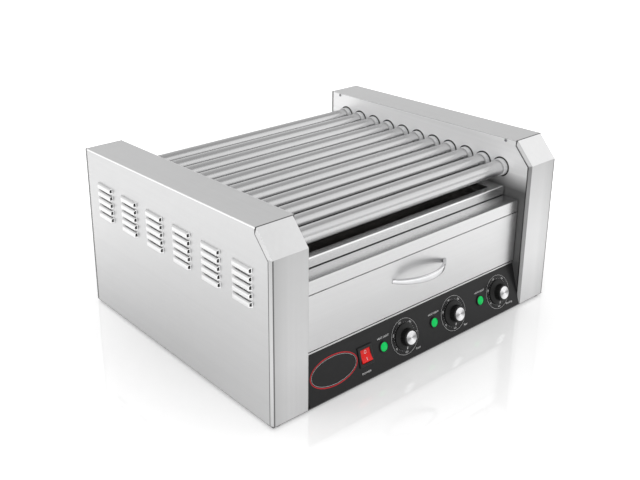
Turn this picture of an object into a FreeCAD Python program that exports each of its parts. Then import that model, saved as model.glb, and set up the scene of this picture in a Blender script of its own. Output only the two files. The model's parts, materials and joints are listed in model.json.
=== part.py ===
"""Hot dog roller grill: heated rollers between two sheet steel housings.

Millimetres, +Z up.  The front faces -Y and the origin lies on the table under
the middle of the grill.  The rollers run along X through bushes in the inner
walls, and a chain in the left housing turns them together.  A drip tray slides
out over the deck, and a bun drawer slides out below it.  The sloped control
panel carries three thermostat knobs, three pilot lamps and the rocker switch.

Each function makes one sub-part.  Parts of a housing are made for the right
side (+X) and mirrored for the left.
"""
import FreeCAD
import Part

import math
import os

V = FreeCAD.Vector

# ---------------------------------------------------------------- overall body
WIDTH = 580.0  # over both housings
DEPTH = 466.0  # over the front posts and the rear panel
REAR_TOP = 267.0  # height of the housings at the back
FRONT_RISE = 13.2  # the tops climb this much from back to front
HOUSING_W = 63.5  # one housing, over its two walls
FOOT_H = 3.0
FOOT_R = 10.0
FOOT_INSET = 12.0  # foot centre from the side and the end of the base
SHEET = 1.2  # sheet steel of the body
CHAMFER_DEPTH = 32.0  # sloping corner above each front post
CHAMFER_DROP = 34.9
CORNER_OUT = (2.0, 5.5)  # bevel of a post's outer corner, across and back
CORNER_IN = (3.0, 4.5)  # bevel of its inner corner
POST_LAP = 6.0  # depth of a post in front of the wall and the cover
POST_RETURN = 15.0  # its turned-in edges behind them
RETURN_T = 2.4
SEAM_GAP = 0.2
REAR_FLANGE = 4.0
REAR_GAP = 0.5
HEM = 14.0  # turned-down edge of the cover inside the inner wall
FOLD_R = 1.0

# -------------------------------------------------------------------- rollers
ROLLERS = 11
ROLLER_R = 12.5
ROLLER_WALL = 1.3
ROLLER_DROP = 37.0  # roller axis below the rear top edge
FIRST_SETBACK = 58.5  # first roller axis behind the front
LAST_SETBACK = 42.5  # last roller axis in front of the back
BUSH_FIT = 0.05  # running clearance of a roller in its bush
BUSH_WALL = 1.6
BUSH_COLLAR = 9.0  # ring that shows beside each inner wall
BUSH_RIM_T = 2.0  # rim of a bush inside the housing
BUSH_RIM_GAP = 2.3  # between the rims of two neighbours
BUSH_SEAT = 0.1
TUBE_TAIL = 12.3  # tube beyond the left wall, through its sprocket
TUBE_STUB = 8.3  # tube beyond the right wall

# --------------------------------------------------------------- chain drive
CHAIN_PITCH = 6.35
SPROCKET_TEETH = 16
DRIVE_TEETH = 20
SPROCKET_T = 2.8
SPROCKET_OUT = 8.9  # sprocket's inner side from the wall's outer side
HUB_RISE = 2.0  # hub beyond the tube
HUB_L = 3.4
TOOTH_TIP = 1.0  # tooth tip beyond the pitch circle
TOOTH_H = 2.6
DRIVE_DROP = 107.0  # drive axis below the rollers
CHAIN_GAP = 0.3
PIN_R = 1.15
LINK_T = 0.8
LINK_HALF = 2.4
LINK_SIDE = 0.5  # between a link and the sprocket's side
SHAFT_R = 5.0
SHAFT_L = 15.0
DRIVE_HUB_R = 10.0
SHAFT_FIT = 0.05
GEARBOX = 56.0
GEARBOX_L = 16.0
MOTOR_R = 24.0
MOTOR_ROOM = 6.8  # between the motor's end and the cover
BRACKET = 88.0
BRACKET_T = 2.0
STANDOFF_R = 4.0
STANDOFF_INSET = 8.0
BRACKET_OUT = 16.3  # bracket's inner side from the wall's outer side

# ------------------------------------------------------------------- heaters
HEATER_R = 4.0
BEAD_R = 6.5
BEAD_L = 7.0
SUPPORT_OUT = 27.0  # support strip from the wall's outer side
SUPPORT_H = 24.0
SUPPORT_LEG = 16.0
SUPPORT_END = 25.0  # legs beyond the end rollers' axes
HEATER_FIT = 0.1

# --------------------------------------------------------------- deck and tray
DECK_DROP = 45.0  # deck below the roller axes
FRONT_SETBACK = 17.9  # rail and drawer behind the front
RAIL_H = 20.0
SIDE_GAP = 1.5  # rail and drawer front beside the inner walls
DECK_REAR = 11.0
FLANGE_H = 12.0
HEM_DEPTH = 9.0
TRAY_SETBACK = 47.5
TRAY_REAR = 18.0
TRAY_SIDE = 2.5
TRAY_LIFT = 1.3
TRAY_H = 14.7
TRAY_GLIDE = 0.3  # under the tray's side skirts
TRAY_T = 1.0
TRAY_RIM = (12.0, 24.0)  # flat rim along the front and back, and along the sides
TRAY_ROUND = 2.0
TRAY_FLOOR = 1.5

# ------------------------------------------------------------- control panel
PANEL_TILT = 16.2  # degrees from upright
PANEL_SLOPE = 71.8
PANEL_END = 0.3
PANEL_SILL = 0.4  # lower edge lifted clear of the base
PANEL_FLANGE = 13.0
CONTROL_S = 36.0  # controls' centre line, up the slope
DIAL_EDGE = 46.0  # right dial from the inner wall
DIAL_PITCH = 107.25
LAMP_LEAD = 44.1  # lamp to the left of its dial
ROCKER_LEAD = 36.6  # rocker to the left of its lamp

KNOB_GAP = 0.6
KNOB_SKIRT_R = 20.0
KNOB_BARREL_R = 13.2
KNOB_H = 14.2
KNOB_FLUTES = 20
FLUTE_R = 0.9
CAP_R = 10.3
CAP_T = 1.2
CAP_PROUD = 0.3
SPINDLE_R = 3.0
SPINDLE_L = 12.0  # into the thermostat
SPINDLE_FIT = 0.05
BUSHING_R = 5.0
NUT_R = 7.5
NUT_T = 2.2
NUT_ROOM = 1.0
THERMOSTAT_R = 17.0
THERMOSTAT_L = 20.0

LAMP_R = 7.2
LAMP_DOME = 3.0
LAMP_BODY_R = 6.0
LAMP_BODY_L = 14.0
BEZEL_T = 1.4
BEZEL_H = 2.0

SWITCH = (27.0, 30.0, 2.2)  # frame of the switch: wide, tall, proud
SWITCH_BODY = (22.0, 26.0, 20.0)
ROCKER_R = 10.3
ROCKER_W = 18.6
ROCKER_REST = 11.0  # degrees either side of level
ROCKER_EDGE = 27.0  # angle of its raised edges when level
ROCKER_DIP = 1.6
ROCKER_BELLY = 5.0
ROCKER_AXIS = -1.5  # pivot below the panel's face
ROCKER_ROOM = 0.25
ROCKER_PIN_R = 1.5
ROCKER_PIN_L = 1.2
PIN_FIT = 0.06

# --------------------------------------------------------------- warm drawer
SHELF_LIFT = 1.9  # warmer floor's lip above the panel
SHELF_LIP = 2.5
DRAWER_REVEAL = 1.3  # dark joint round the drawer front
DRAWER_RETURN = 8.0
DRAWER_T = 1.0
DRAWER_INSET = 21.5  # box side from the inner wall
DRAWER_LIFT = 6.5  # box floor above the shelf
DRAWER_HEAD = 14.0  # box rim below the drawer front's top
DRAWER_REAR = 60.0
SLIDE_H = 12.4
SLIDE_W = 18.0
SLIDE_T = 1.5
SLIDE_FIT = 0.3
SLIDE_UP = 23.0  # slide above the box floor
RUNNER_T = 1.2
RUNNER_SETBACK = 26.0
HANDLE_HALF = 58.0
HANDLE_PROUD = 26.0
HANDLE_T = 4.5
HANDLE_H = 11.0
HANDLE_TIP_H = 6.5
HANDLE_TIP = 9.0  # width of each foot on the drawer
HANDLE_DROP = 31.0  # handle below the drawer front's top
HANDLE_ROUND = 0.8
ELEMENT_R = 2.0
ELEMENT_RUNS = 6
ELEMENT_PITCH = 44.0
ELEMENT_HALF = 150.0

# ------------------------------------------------------- louvres and small parts
LOUVRE_COLS = 6
LOUVRE_ROWS = 5
LOUVRE_L = 41.0
LOUVRE_H = 8.5
LOUVRE_PROUD = 4.0
LOUVRE_T = 0.9
LOUVRE_TAPER = 2.5
LOUVRE_REAR = 35.8
LOUVRE_FRONT = 39.2
LOUVRE_PITCH_Z = 12.0
LOUVRE_DROP = 45.0
SCREW_HEAD_R = 2.4
SCREW_HEAD_T = 1.6
SCREW_R = 1.5
SCREW_L = 6.0
SCREW_DROP = 3.6
SCREW_REAR = 23.5  # rear screw from the back
SCREW_FRONT = 52.4  # front screw from the front
REAR_PANEL_DROP = 34.0  # back panel's top below the roller axes
GLAND_R = 9.0
GLAND_BORE_R = 4.0
GLAND_Z = 40.0
GLAND_INSET = 30.0

# -------------------------------------------------------------- worked out
HALF_W = WIDTH / 2
INNER = HALF_W - HOUSING_W  # inner faces of the inner walls
FRONT = -DEPTH / 2
REAR = DEPTH / 2
BASE_TOP = FOOT_H + SHEET
SEAM_Y = FRONT + CHAMFER_DEPTH
FRONT_TOP = REAR_TOP + FRONT_RISE
KNEE_Z = FRONT_TOP - CHAMFER_DROP
WALL_REAR = REAR - REAR_FLANGE - REAR_GAP
WALL_OUT = INNER + SHEET  # outer side of the inner wall

ROLLER_Z = REAR_TOP - ROLLER_DROP
ROLLER_PITCH = (DEPTH - FIRST_SETBACK - LAST_SETBACK) / (ROLLERS - 1)
ROLLER_Y = [FRONT + FIRST_SETBACK + i * ROLLER_PITCH for i in range(ROLLERS)]
BUSH_R = ROLLER_R + BUSH_WALL
MOTOR_L = HOUSING_W - 2 * SHEET - BRACKET_OUT - BRACKET_T - GEARBOX_L - MOTOR_ROOM

DRIVE_Y = (ROLLER_Y[0] + ROLLER_Y[-1]) / 2
DRIVE_Z = ROLLER_Z - DRIVE_DROP
SPROCKET_X = -(WALL_OUT + SPROCKET_OUT)

DECK_Z = ROLLER_Z - DECK_DROP
PLANE_Y = FRONT + FRONT_SETBACK  # face of the rail and the drawer
RAIL_BOTTOM = DECK_Z - RAIL_H
SLOPE_Y = math.sin(math.radians(PANEL_TILT))
SLOPE_Z = math.cos(math.radians(PANEL_TILT))
PANEL_TOP_Y = FRONT + PANEL_SLOPE * SLOPE_Y
PANEL_TOP_Z = BASE_TOP + PANEL_SLOPE * SLOPE_Z
LIP_Z = PANEL_TOP_Z + SHELF_LIFT
SHELF_Z = LIP_Z + SHELF_LIP
DRAWER_BOTTOM = SHELF_Z + DRAWER_REVEAL
DRAWER_TOP = RAIL_BOTTOM - DRAWER_REVEAL
BOX_HALF = INNER - DRAWER_INSET
BOX_FLOOR = SHELF_Z + DRAWER_LIFT
BOX_FRONT = PLANE_Y + SHEET
BOX_REAR = REAR - DRAWER_REAR
SLIDE_Z = BOX_FLOOR + SLIDE_UP

DIAL_X = [INNER - DIAL_EDGE - i * DIAL_PITCH for i in range(3)]
LAMP_X = [x - LAMP_LEAD for x in DIAL_X]
ROCKER_X = LAMP_X[-1] - ROCKER_LEAD


# ------------------------------------------------------------------- helpers
def top_z(y):
    """Height of the housings' sloping top at y."""
    return REAR_TOP + FRONT_RISE * (REAR - y) / (REAR - SEAM_Y)


def box(x0, x1, y0, y1, z0, z1):
    """Block between two corners."""
    return Part.makeBox(x1 - x0, y1 - y0, z1 - z0, V(x0, y0, z0))


def face_of(points):
    """Flat face with straight sides."""
    return Part.Face(Part.makePolygon(points + [points[0]]))


def prism_x(outline, x0, x1):
    """Outline of (y, z) points carried from x0 to x1."""
    return face_of([V(x0, y, z) for y, z in outline]).extrude(V(x1 - x0, 0, 0))


def prism_z(outline, z0, z1):
    """Outline of (x, y) points carried from z0 to z1."""
    return face_of([V(x, y, z0) for x, y in outline]).extrude(V(0, 0, z1 - z0))


def rod_x(x0, x1, y, z, radius):
    """Cylinder along X."""
    return Part.makeCylinder(radius, x1 - x0, V(x0, y, z), V(1, 0, 0))


def turned(outline):
    """Solid turned about Z from (radius, height) points."""
    return face_of([V(r, 0, h) for r, h in outline]).revolve(V(0, 0, 0), V(0, 0, 1), 360)


def joined(shapes):
    """Fuse touching shapes into one solid."""
    return shapes[0].multiFuse(shapes[1:]).removeSplitter()


def mirrored(shape):
    """The same piece for the left side."""
    return shape.mirror(V(0, 0, 0), V(1, 0, 0))


def rounded(shape, radius, chosen):
    """Round the straight edges whose two ends both satisfy chosen."""
    edges = [e for e in shape.Edges if all(chosen(v.Point) for v in e.Vertexes)]
    return shape.makeFillet(radius, edges)


def on_panel(shape, x, s=CONTROL_S):
    """Seat a piece on the panel: its Y runs up the slope and its Z stands out."""
    seat = FreeCAD.Placement(
        V(x, FRONT + s * SLOPE_Y, BASE_TOP + s * SLOPE_Z),
        FreeCAD.Rotation(V(1, 0, 0), 90 - PANEL_TILT),
    )
    piece = shape.copy()
    piece.Placement = seat.multiply(piece.Placement)
    return piece


# ------------------------------------------------------------------ housings
def front_line(inset):
    """Post's front as (y, z): foot, knee and seam, moved in by inset."""
    slope = math.hypot(CHAMFER_DEPTH, CHAMFER_DROP)
    back, up = CHAMFER_DROP / slope, CHAMFER_DEPTH / slope
    knee = KNEE_Z - inset * (1 - back) / up
    seam = FRONT_TOP - inset / up
    return [(FRONT + inset, BASE_TOP), (FRONT + inset, knee), (SEAM_Y, seam)]


def front_strip(x0, x1, inset, depth):
    """Slab that follows the front and the chamfer."""
    return prism_x(front_line(inset) + front_line(inset + depth)[::-1], x0, x1)


def corner_cutters(edge, outward, bevel):
    """Wedges that bevel a post's long edge, below and above the knee."""
    across, back = bevel
    plan = [
        (edge - 2 * outward * across, FRONT - back),
        (edge + outward * across, FRONT + 2 * back),
        (edge + outward * across, FRONT - back),
    ]
    upright = prism_z(plan, 0, FRONT_TOP)
    leaning = prism_z(plan, KNEE_Z - 2 * back, KNEE_Z + 2 * CHAMFER_DROP)
    angle = math.degrees(math.atan2(CHAMFER_DEPTH, CHAMFER_DROP))
    leaning.rotate(V(0, FRONT, KNEE_Z), V(1, 0, 0), -angle)
    return [upright, leaning]


def front_post():
    """Front strip of a housing with its sloping top corner."""
    skin = front_strip(INNER, HALF_W, 0, POST_LAP)
    returns = front_strip(WALL_OUT, HALF_W - SHEET, SHEET, POST_RETURN)
    edge = SHEET + RETURN_T
    hollow = front_strip(INNER + edge, HALF_W - edge, SHEET, POST_RETURN + 1)
    cutters = corner_cutters(HALF_W, 1, CORNER_OUT) + corner_cutters(INNER, -1, CORNER_IN)
    return skin.fuse(returns).cut(hollow).cut(Part.makeCompound(cutters)).removeSplitter()


def wall_outline(top_gap):
    """Wall behind the post, as (y, z), with its top edge lowered by top_gap."""
    foot, knee, seam = front_line(POST_LAP + SEAM_GAP)
    seam_y = SEAM_Y + SEAM_GAP
    return [
        foot,
        knee,
        (seam_y, seam[1]),
        (seam_y, top_z(seam_y) - top_gap),
        (WALL_REAR, top_z(WALL_REAR) - top_gap),
        (WALL_REAR, BASE_TOP),
    ]


def screw_places():
    """(y, z) of the two screws that hold a cover to its inner wall."""
    return [(y, top_z(y) - SCREW_DROP) for y in (FRONT + SCREW_FRONT, REAR - SCREW_REAR)]


def inner_wall():
    """Inner wall of a housing, with the bush holes and a foot flange."""
    plate = prism_x(wall_outline(SHEET), INNER, WALL_OUT)
    hole_r = BUSH_R + BUSH_SEAT
    holes = [rod_x(INNER - 1, WALL_OUT + 1, y, ROLLER_Z, hole_r) for y in ROLLER_Y]
    holes += [rod_x(INNER - 1, WALL_OUT + 1, y, z, SCREW_R) for y, z in screw_places()]
    flange = box(WALL_OUT, WALL_OUT + HEM, SEAM_Y, WALL_REAR, BASE_TOP, BASE_TOP + SHEET)
    return plate.cut(Part.makeCompound(holes)).fuse(flange).removeSplitter()


def louvre_block(inset, drop):
    """Closed hood of one louvre: X stands out of the side, and its top is at z 0."""
    proud = LOUVRE_PROUD - inset
    shoulder = V(proud, 0, -LOUVRE_H / 2)
    crown = V(0.7 * proud, 0, -inset - 0.15 * LOUVRE_H)
    corners = [V(0, 0, -inset), shoulder, V(proud, 0, -drop), V(0, 0, -drop)]
    section = Part.Wire(
        [
            Part.Arc(corners[0], crown, shoulder).toShape(),
            Part.makeLine(shoulder, corners[2]),
            Part.makeLine(corners[2], corners[3]),
            Part.makeLine(corners[3], corners[0]),
        ]
    )
    long_hood = Part.Face(section).extrude(V(0, LOUVRE_L, 0))
    ends = prism_z(
        [
            (0, inset),
            (LOUVRE_PROUD, inset + LOUVRE_TAPER),
            (LOUVRE_PROUD, LOUVRE_L - inset - LOUVRE_TAPER),
            (0, LOUVRE_L - inset),
        ],
        -2 * LOUVRE_H,
        LOUVRE_H,
    )
    return long_hood.common(ends)


def louvre_places():
    """Rear top corner of each louvre on a side."""
    columns = LOUVRE_COLS - 1
    pitch = (DEPTH - LOUVRE_REAR - LOUVRE_FRONT - LOUVRE_L) / columns
    return [
        V(HALF_W, REAR - LOUVRE_REAR - LOUVRE_L - c * pitch, REAR_TOP - LOUVRE_DROP - r * LOUVRE_PITCH_Z)
        for c in range(LOUVRE_COLS)
        for r in range(LOUVRE_ROWS)
    ]


def outer_cover():
    """Louvred side with its top folded over, and a hem behind the inner wall."""
    side = prism_x(wall_outline(0), HALF_W - SHEET, HALF_W)
    seam_y = SEAM_Y + SEAM_GAP
    slab = [
        (seam_y, top_z(seam_y)),
        (WALL_REAR, top_z(WALL_REAR)),
        (WALL_REAR, top_z(WALL_REAR) - SHEET),
        (seam_y, top_z(seam_y) - SHEET),
    ]
    top = prism_x(slab, INNER, HALF_W)
    hem_line = [(y, top_z(y) - SHEET) for y in (seam_y, WALL_REAR)]
    hem_line += [(y, top_z(y) - HEM) for y in (WALL_REAR, seam_y)]
    hem = prism_x(hem_line, WALL_OUT, WALL_OUT + SHEET)
    shell = joined([side, top, hem])

    def on_outer_fold(p):
        return abs(p.x - HALF_W) < 1e-6 and abs(p.z - top_z(p.y)) < 1e-6

    shell = rounded(shell, FOLD_R, on_outer_fold)
    hood = louvre_block(0, LOUVRE_H).cut(louvre_block(LOUVRE_T, LOUVRE_H + 1))
    slot = box(
        -2 * SHEET, 0, 2 * LOUVRE_T, LOUVRE_L - 2 * LOUVRE_T, -LOUVRE_H, -2 * LOUVRE_T
    )
    places = louvre_places()
    slots = Part.makeCompound([slot.translated(p) for p in places])
    holes = [
        rod_x(WALL_OUT - 1, WALL_OUT + SHEET + 1, y, z, SCREW_R) for y, z in screw_places()
    ]
    shell = shell.cut(slots).cut(Part.makeCompound(holes))
    return shell.multiFuse([hood.translated(p) for p in places]).removeSplitter()


def rear_panel():
    """Back of the grill: a low panel between two full-height pans."""

    def pan(x0, x1):
        y0 = REAR - REAR_FLANGE
        outer = [(y0, BASE_TOP), (y0, top_z(y0)), (REAR, REAR_TOP), (REAR, BASE_TOP)]
        top = REAR_TOP - SHEET
        hollow = box(x0 + SHEET, x1 - SHEET, y0 - 1, REAR - SHEET, 0, top)
        return prism_x(outer, x0, x1).cut(hollow)

    middle = box(-INNER, INNER, REAR - SHEET, REAR, BASE_TOP, ROLLER_Z - REAR_PANEL_DROP)
    lip_z = ROLLER_Z - REAR_PANEL_DROP
    lip = box(-INNER, INNER, REAR - HEM_DEPTH, REAR - SHEET, lip_z - SHEET, lip_z)
    body = joined([pan(INNER, HALF_W), pan(-HALF_W, -INNER), middle, lip])
    gland_x = -(HALF_W - GLAND_INSET)
    hole = Part.makeCylinder(GLAND_R - 2, 4 * SHEET, V(gland_x, REAR - 3 * SHEET, GLAND_Z), V(0, 1, 0))
    return body.cut(hole)


def base_plate():
    """Bottom sheet that everything stands on."""
    return box(-HALF_W + 0.5, HALF_W - 0.5, FRONT + 0.5, REAR - 0.5, FOOT_H, BASE_TOP)


def rubber_feet():
    """Low round feet under the corners."""
    feet = []
    for x in (-HALF_W + FOOT_INSET, HALF_W - FOOT_INSET):
        for y in (FRONT + FOOT_INSET, REAR - FOOT_INSET):
            foot = turned([(0, 0), (FOOT_R - 1, 0), (FOOT_R, 1), (FOOT_R, FOOT_H), (0, FOOT_H)])
            feet.append(foot.translated(V(x, y, 0)))
    return Part.makeCompound(feet)


def cover_screws():
    """Pan-head screws through the inner walls into the covers' hems."""
    screws = []
    for y, z in screw_places():
        head = rod_x(INNER - SCREW_HEAD_T, INNER, y, z, SCREW_HEAD_R)
        rim = [e for e in head.Edges if all(abs(v.X - head.BoundBox.XMin) < 1e-6 for v in e.Vertexes)]
        head = head.makeFillet(0.7, rim[:1])
        slot = box(INNER - SCREW_HEAD_T - 1, INNER - SCREW_HEAD_T + 0.6, y - 3, y + 3, z - 0.3, z + 0.3)
        shank = rod_x(INNER, INNER + SCREW_L, y, z, SCREW_R)
        screw = head.cut(slot).fuse(shank)
        screws += [screw, mirrored(screw)]
    return Part.makeCompound(screws)


def cable_gland():
    """Strain relief at the back of the left housing."""
    reach = HANDLE_PROUD - FRONT_SETBACK
    outline = [
        (GLAND_BORE_R, -6 * SHEET),
        (GLAND_R - 2.1, -6 * SHEET),
        (GLAND_R - 2.1, 0),
        (GLAND_R, 0),
        (GLAND_R, reach / 2),
        (GLAND_R - 3, reach),
        (GLAND_BORE_R, reach),
    ]
    gland = turned(outline)
    gland.rotate(V(0, 0, 0), V(1, 0, 0), -90)
    return gland.translated(V(-(HALF_W - GLAND_INSET), REAR, GLAND_Z))


# ------------------------------------------------------------ rollers and drive
def roller_tube(y):
    """One roller, open at both ends for its heater."""
    x0, x1 = -(WALL_OUT + TUBE_TAIL), WALL_OUT + TUBE_STUB
    tube = rod_x(x0, x1, y, ROLLER_Z, ROLLER_R)
    return tube.cut(rod_x(x0 - 1, x1 + 1, y, ROLLER_Z, ROLLER_R - ROLLER_WALL))


def roller_bushings():
    """Bush at each end of each roller: ring inside, neck in the wall, rim outside."""
    rim_r = (ROLLER_PITCH - BUSH_RIM_GAP) / 2
    bushes = []
    for y in ROLLER_Y:
        neck = rod_x(INNER - BUSH_COLLAR, WALL_OUT + BUSH_RIM_T, y, ROLLER_Z, BUSH_R)
        flange = rod_x(WALL_OUT, WALL_OUT + BUSH_RIM_T, y, ROLLER_Z, rim_r)
        bore = rod_x(0, HALF_W, y, ROLLER_Z, ROLLER_R + BUSH_FIT)
        bush = neck.fuse(flange).cut(bore)
        bushes += [bush, mirrored(bush)]
    return Part.makeCompound(bushes)


def pitch_radius(teeth):
    """Pitch circle of a chain sprocket."""
    return CHAIN_PITCH / (2 * math.sin(math.pi / teeth))


def toothed_disc(teeth, y, z):
    """Sprocket plate in the chain's plane."""
    tip = pitch_radius(teeth) + TOOTH_TIP
    root = tip - TOOTH_H
    step = 2 * math.pi / teeth
    corners = [(root, -0.3), (tip, -0.12), (tip, 0.12), (root, 0.3)]
    outline = [
        (y + r * math.cos((k + share) * step), z + r * math.sin((k + share) * step))
        for k in range(teeth)
        for r, share in corners
    ]
    return prism_x(outline, SPROCKET_X - SPROCKET_T, SPROCKET_X)


def roller_sprocket(y):
    """Sprocket pressed on a roller's left end."""
    hub = rod_x(SPROCKET_X, SPROCKET_X + HUB_L, y, ROLLER_Z, ROLLER_R + HUB_RISE)
    bore = rod_x(-HALF_W, 0, y, ROLLER_Z, ROLLER_R)
    return toothed_disc(SPROCKET_TEETH, y, ROLLER_Z).fuse(hub).cut(bore)


def drive_sprocket():
    """Motor's sprocket with the output shaft that turns in the gearbox."""
    disc = toothed_disc(DRIVE_TEETH, DRIVE_Y, DRIVE_Z)
    hub = rod_x(SPROCKET_X, SPROCKET_X + HUB_L, DRIVE_Y, DRIVE_Z, DRIVE_HUB_R)
    face = SPROCKET_X - SPROCKET_T
    shaft = rod_x(face - SHAFT_L, face, DRIVE_Y, DRIVE_Z, SHAFT_R)
    return joined([disc, hub, shaft])


def chain_circles():
    """(y, z, radius) of the chain's centre line round its three turns."""
    clear = TOOTH_TIP + CHAIN_GAP + PIN_R
    small = pitch_radius(SPROCKET_TEETH) + clear
    large = pitch_radius(DRIVE_TEETH) + clear
    return [
        (ROLLER_Y[0], ROLLER_Z, small),
        (ROLLER_Y[-1], ROLLER_Z, small),
        (DRIVE_Y, DRIVE_Z, large),
    ]


def chain_wire(x, offset):
    """Closed line of tangents and arcs, offset outwards from the centre line."""
    circles = [(y, z, r + offset) for y, z, r in chain_circles()]
    normals = []
    for (y0, z0, r0), (y1, z1, r1) in zip(circles, circles[1:] + circles[:1]):
        span = math.hypot(y1 - y0, z1 - z0)
        along = ((y1 - y0) / span, (z1 - z0) / span)
        lean = (r0 - r1) / span
        rest = math.sqrt(1 - lean * lean)
        normals.append((along[0] * lean - along[1] * rest, along[1] * lean + along[0] * rest))
    edges = []
    for i, (y, z, r) in enumerate(circles):
        came, goes = normals[i - 1], normals[i]
        half = (came[0] + goes[0], came[1] + goes[1])
        size = math.hypot(*half)
        arc = [V(x, y + r * n[0], z + r * n[1]) for n in (came, (half[0] / size, half[1] / size), goes)]
        y1, z1, r1 = circles[(i + 1) % len(circles)]
        edges.append(Part.Arc(*arc).toShape())
        edges.append(Part.makeLine(arc[2], V(x, y1 + r1 * goes[0], z1 + r1 * goes[1])))
    return Part.Wire(edges)


def drive_chain():
    """Roller chain: two rows of links joined by its pins."""
    gap = SPROCKET_T + 2 * LINK_SIDE
    near = SPROCKET_X + LINK_SIDE
    rows = []
    for x in (near, near - gap - LINK_T):
        ring = Part.Face(chain_wire(x, LINK_HALF)).cut(Part.Face(chain_wire(x, -LINK_HALF)))
        rows.append(ring.extrude(V(LINK_T, 0, 0)))
    line = chain_wire(near - gap, 0)
    count = round(line.Length / CHAIN_PITCH)
    places = line.discretize(count + 1)[:-1]
    pins = [Part.makeCylinder(PIN_R, gap, p, V(1, 0, 0)) for p in places]
    return rows[0].multiFuse(rows[1:] + pins)


def motor_bracket():
    """Plate on four posts that carries the gear motor off the inner wall."""
    outer = WALL_OUT + BRACKET_OUT
    half = BRACKET / 2
    plate = box(
        -(outer + BRACKET_T), -outer, DRIVE_Y - half, DRIVE_Y + half, DRIVE_Z - half, DRIVE_Z + half
    )
    reach = half - STANDOFF_INSET
    posts = [
        rod_x(-outer, -WALL_OUT, DRIVE_Y + i * reach, DRIVE_Z + j * reach, STANDOFF_R)
        for i in (-1, 1)
        for j in (-1, 1)
    ]
    hole = rod_x(-HALF_W, 0, DRIVE_Y, DRIVE_Z, SHAFT_R + 3)
    return joined([plate] + posts).cut(hole)


def gear_motor():
    """Gearbox with the shaft's bearing, and the motor behind it."""
    face = -(WALL_OUT + BRACKET_OUT + BRACKET_T)
    half = GEARBOX / 2
    gearbox = box(face - GEARBOX_L, face, DRIVE_Y - half, DRIVE_Y + half, DRIVE_Z - half, DRIVE_Z + half)
    motor = rod_x(face - GEARBOX_L - MOTOR_L, face - GEARBOX_L, DRIVE_Y, DRIVE_Z, MOTOR_R)
    end = SPROCKET_X - SPROCKET_T - SHAFT_L - 1
    bore = rod_x(end, face + 1, DRIVE_Y, DRIVE_Z, SHAFT_R + SHAFT_FIT)
    return gearbox.fuse(motor).cut(bore)


def heater_rods():
    """Straight heating rods inside the rollers, with a ceramic bead at each end."""
    end = WALL_OUT + SUPPORT_OUT + SHEET
    rods = []
    for y in ROLLER_Y:
        rod = rod_x(-end, end, y, ROLLER_Z, HEATER_R)
        beads = [rod_x(x, x + BEAD_L, y, ROLLER_Z, BEAD_R) for x in (-end - BEAD_L, end)]
        rods.append(joined([rod] + beads))
    return Part.makeCompound(rods)


def heater_supports():
    """Strip in each housing that holds the heater ends, on two legs."""
    x0 = WALL_OUT + SUPPORT_OUT
    y0, y1 = ROLLER_Y[0] - SUPPORT_END, ROLLER_Y[-1] + SUPPORT_END
    strip = box(x0, x0 + SHEET, y0, y1, ROLLER_Z - SUPPORT_H / 2, ROLLER_Z + SUPPORT_H / 2)
    low, high = ROLLER_Z - SUPPORT_LEG / 2, ROLLER_Z + SUPPORT_LEG / 2
    legs = [box(WALL_OUT, x0, y, y + SHEET, low, high) for y in (y0, y1 - SHEET)]
    holes = [rod_x(x0 - 1, x0 + 2 * SHEET, y, ROLLER_Z, HEATER_R + HEATER_FIT) for y in ROLLER_Y]
    support = joined([strip] + legs).cut(Part.makeCompound(holes))
    return Part.makeCompound([support, mirrored(support)])


# ------------------------------------------------------------- deck and drip tray
def warmer_deck():
    """Deck under the drip tray, its front rail, and flanges on the inner walls."""
    half = INNER - SIDE_GAP
    rear = REAR - DECK_REAR
    sheet = box(-half, half, PLANE_Y, rear, DECK_Z - SHEET, DECK_Z)
    rail = box(-half, half, PLANE_Y, PLANE_Y + SHEET, RAIL_BOTTOM, DECK_Z)
    hem = box(-half, half, PLANE_Y, PLANE_Y + HEM_DEPTH, RAIL_BOTTOM, RAIL_BOTTOM + SHEET)
    start = PLANE_Y + HEM_DEPTH
    pieces = [sheet, rail, hem]
    for x0, x1 in ((half - SHEET, INNER), (-INNER, -half + SHEET)):
        pieces.append(box(x0, x1, start, rear, DECK_Z - SHEET - FLANGE_H, DECK_Z - SHEET))
    return rounded(joined(pieces), FOLD_R, lambda p: p.y < PLANE_Y + 1e-6 and p.z > DECK_Z - 1e-6)


def drip_tray():
    """Shallow pan with a folded rim and side skirts that glide on the deck."""
    half = INNER - TRAY_SIDE
    y0, y1 = FRONT + TRAY_SETBACK, REAR - TRAY_REAR
    z0 = DECK_Z + TRAY_LIFT
    z1 = z0 + TRAY_H
    rim_y, rim_x = TRAY_RIM
    block = box(-half, half, y0, y1, z0, z1)
    block = rounded(block, TRAY_ROUND, lambda p: p.z > z1 - 1e-6)
    floor = z0 + TRAY_FLOOR
    well = box(
        -half + rim_x, half - rim_x, y0 + rim_y, y1 - rim_y, floor, z1 + 1
    )
    pan = box(
        -half + rim_x - TRAY_T, half - rim_x + TRAY_T,
        y0 + rim_y - TRAY_T, y1 - rim_y + TRAY_T,
        floor - TRAY_T, z1,
    )
    under = box(-half + TRAY_T, half - TRAY_T, y0 + TRAY_T, y1 - TRAY_T, z0 - 1, z1 - TRAY_T)
    shell = block.cut(under.cut(pan)).cut(well)
    low = DECK_Z + TRAY_GLIDE
    skirts = [
        box(x, x + TRAY_T, y0 + 2 * TRAY_ROUND, y1 - 2 * TRAY_ROUND, low, z0 + 2)
        for x in (-half, half - TRAY_T)
    ]
    return joined([shell] + skirts)


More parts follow.
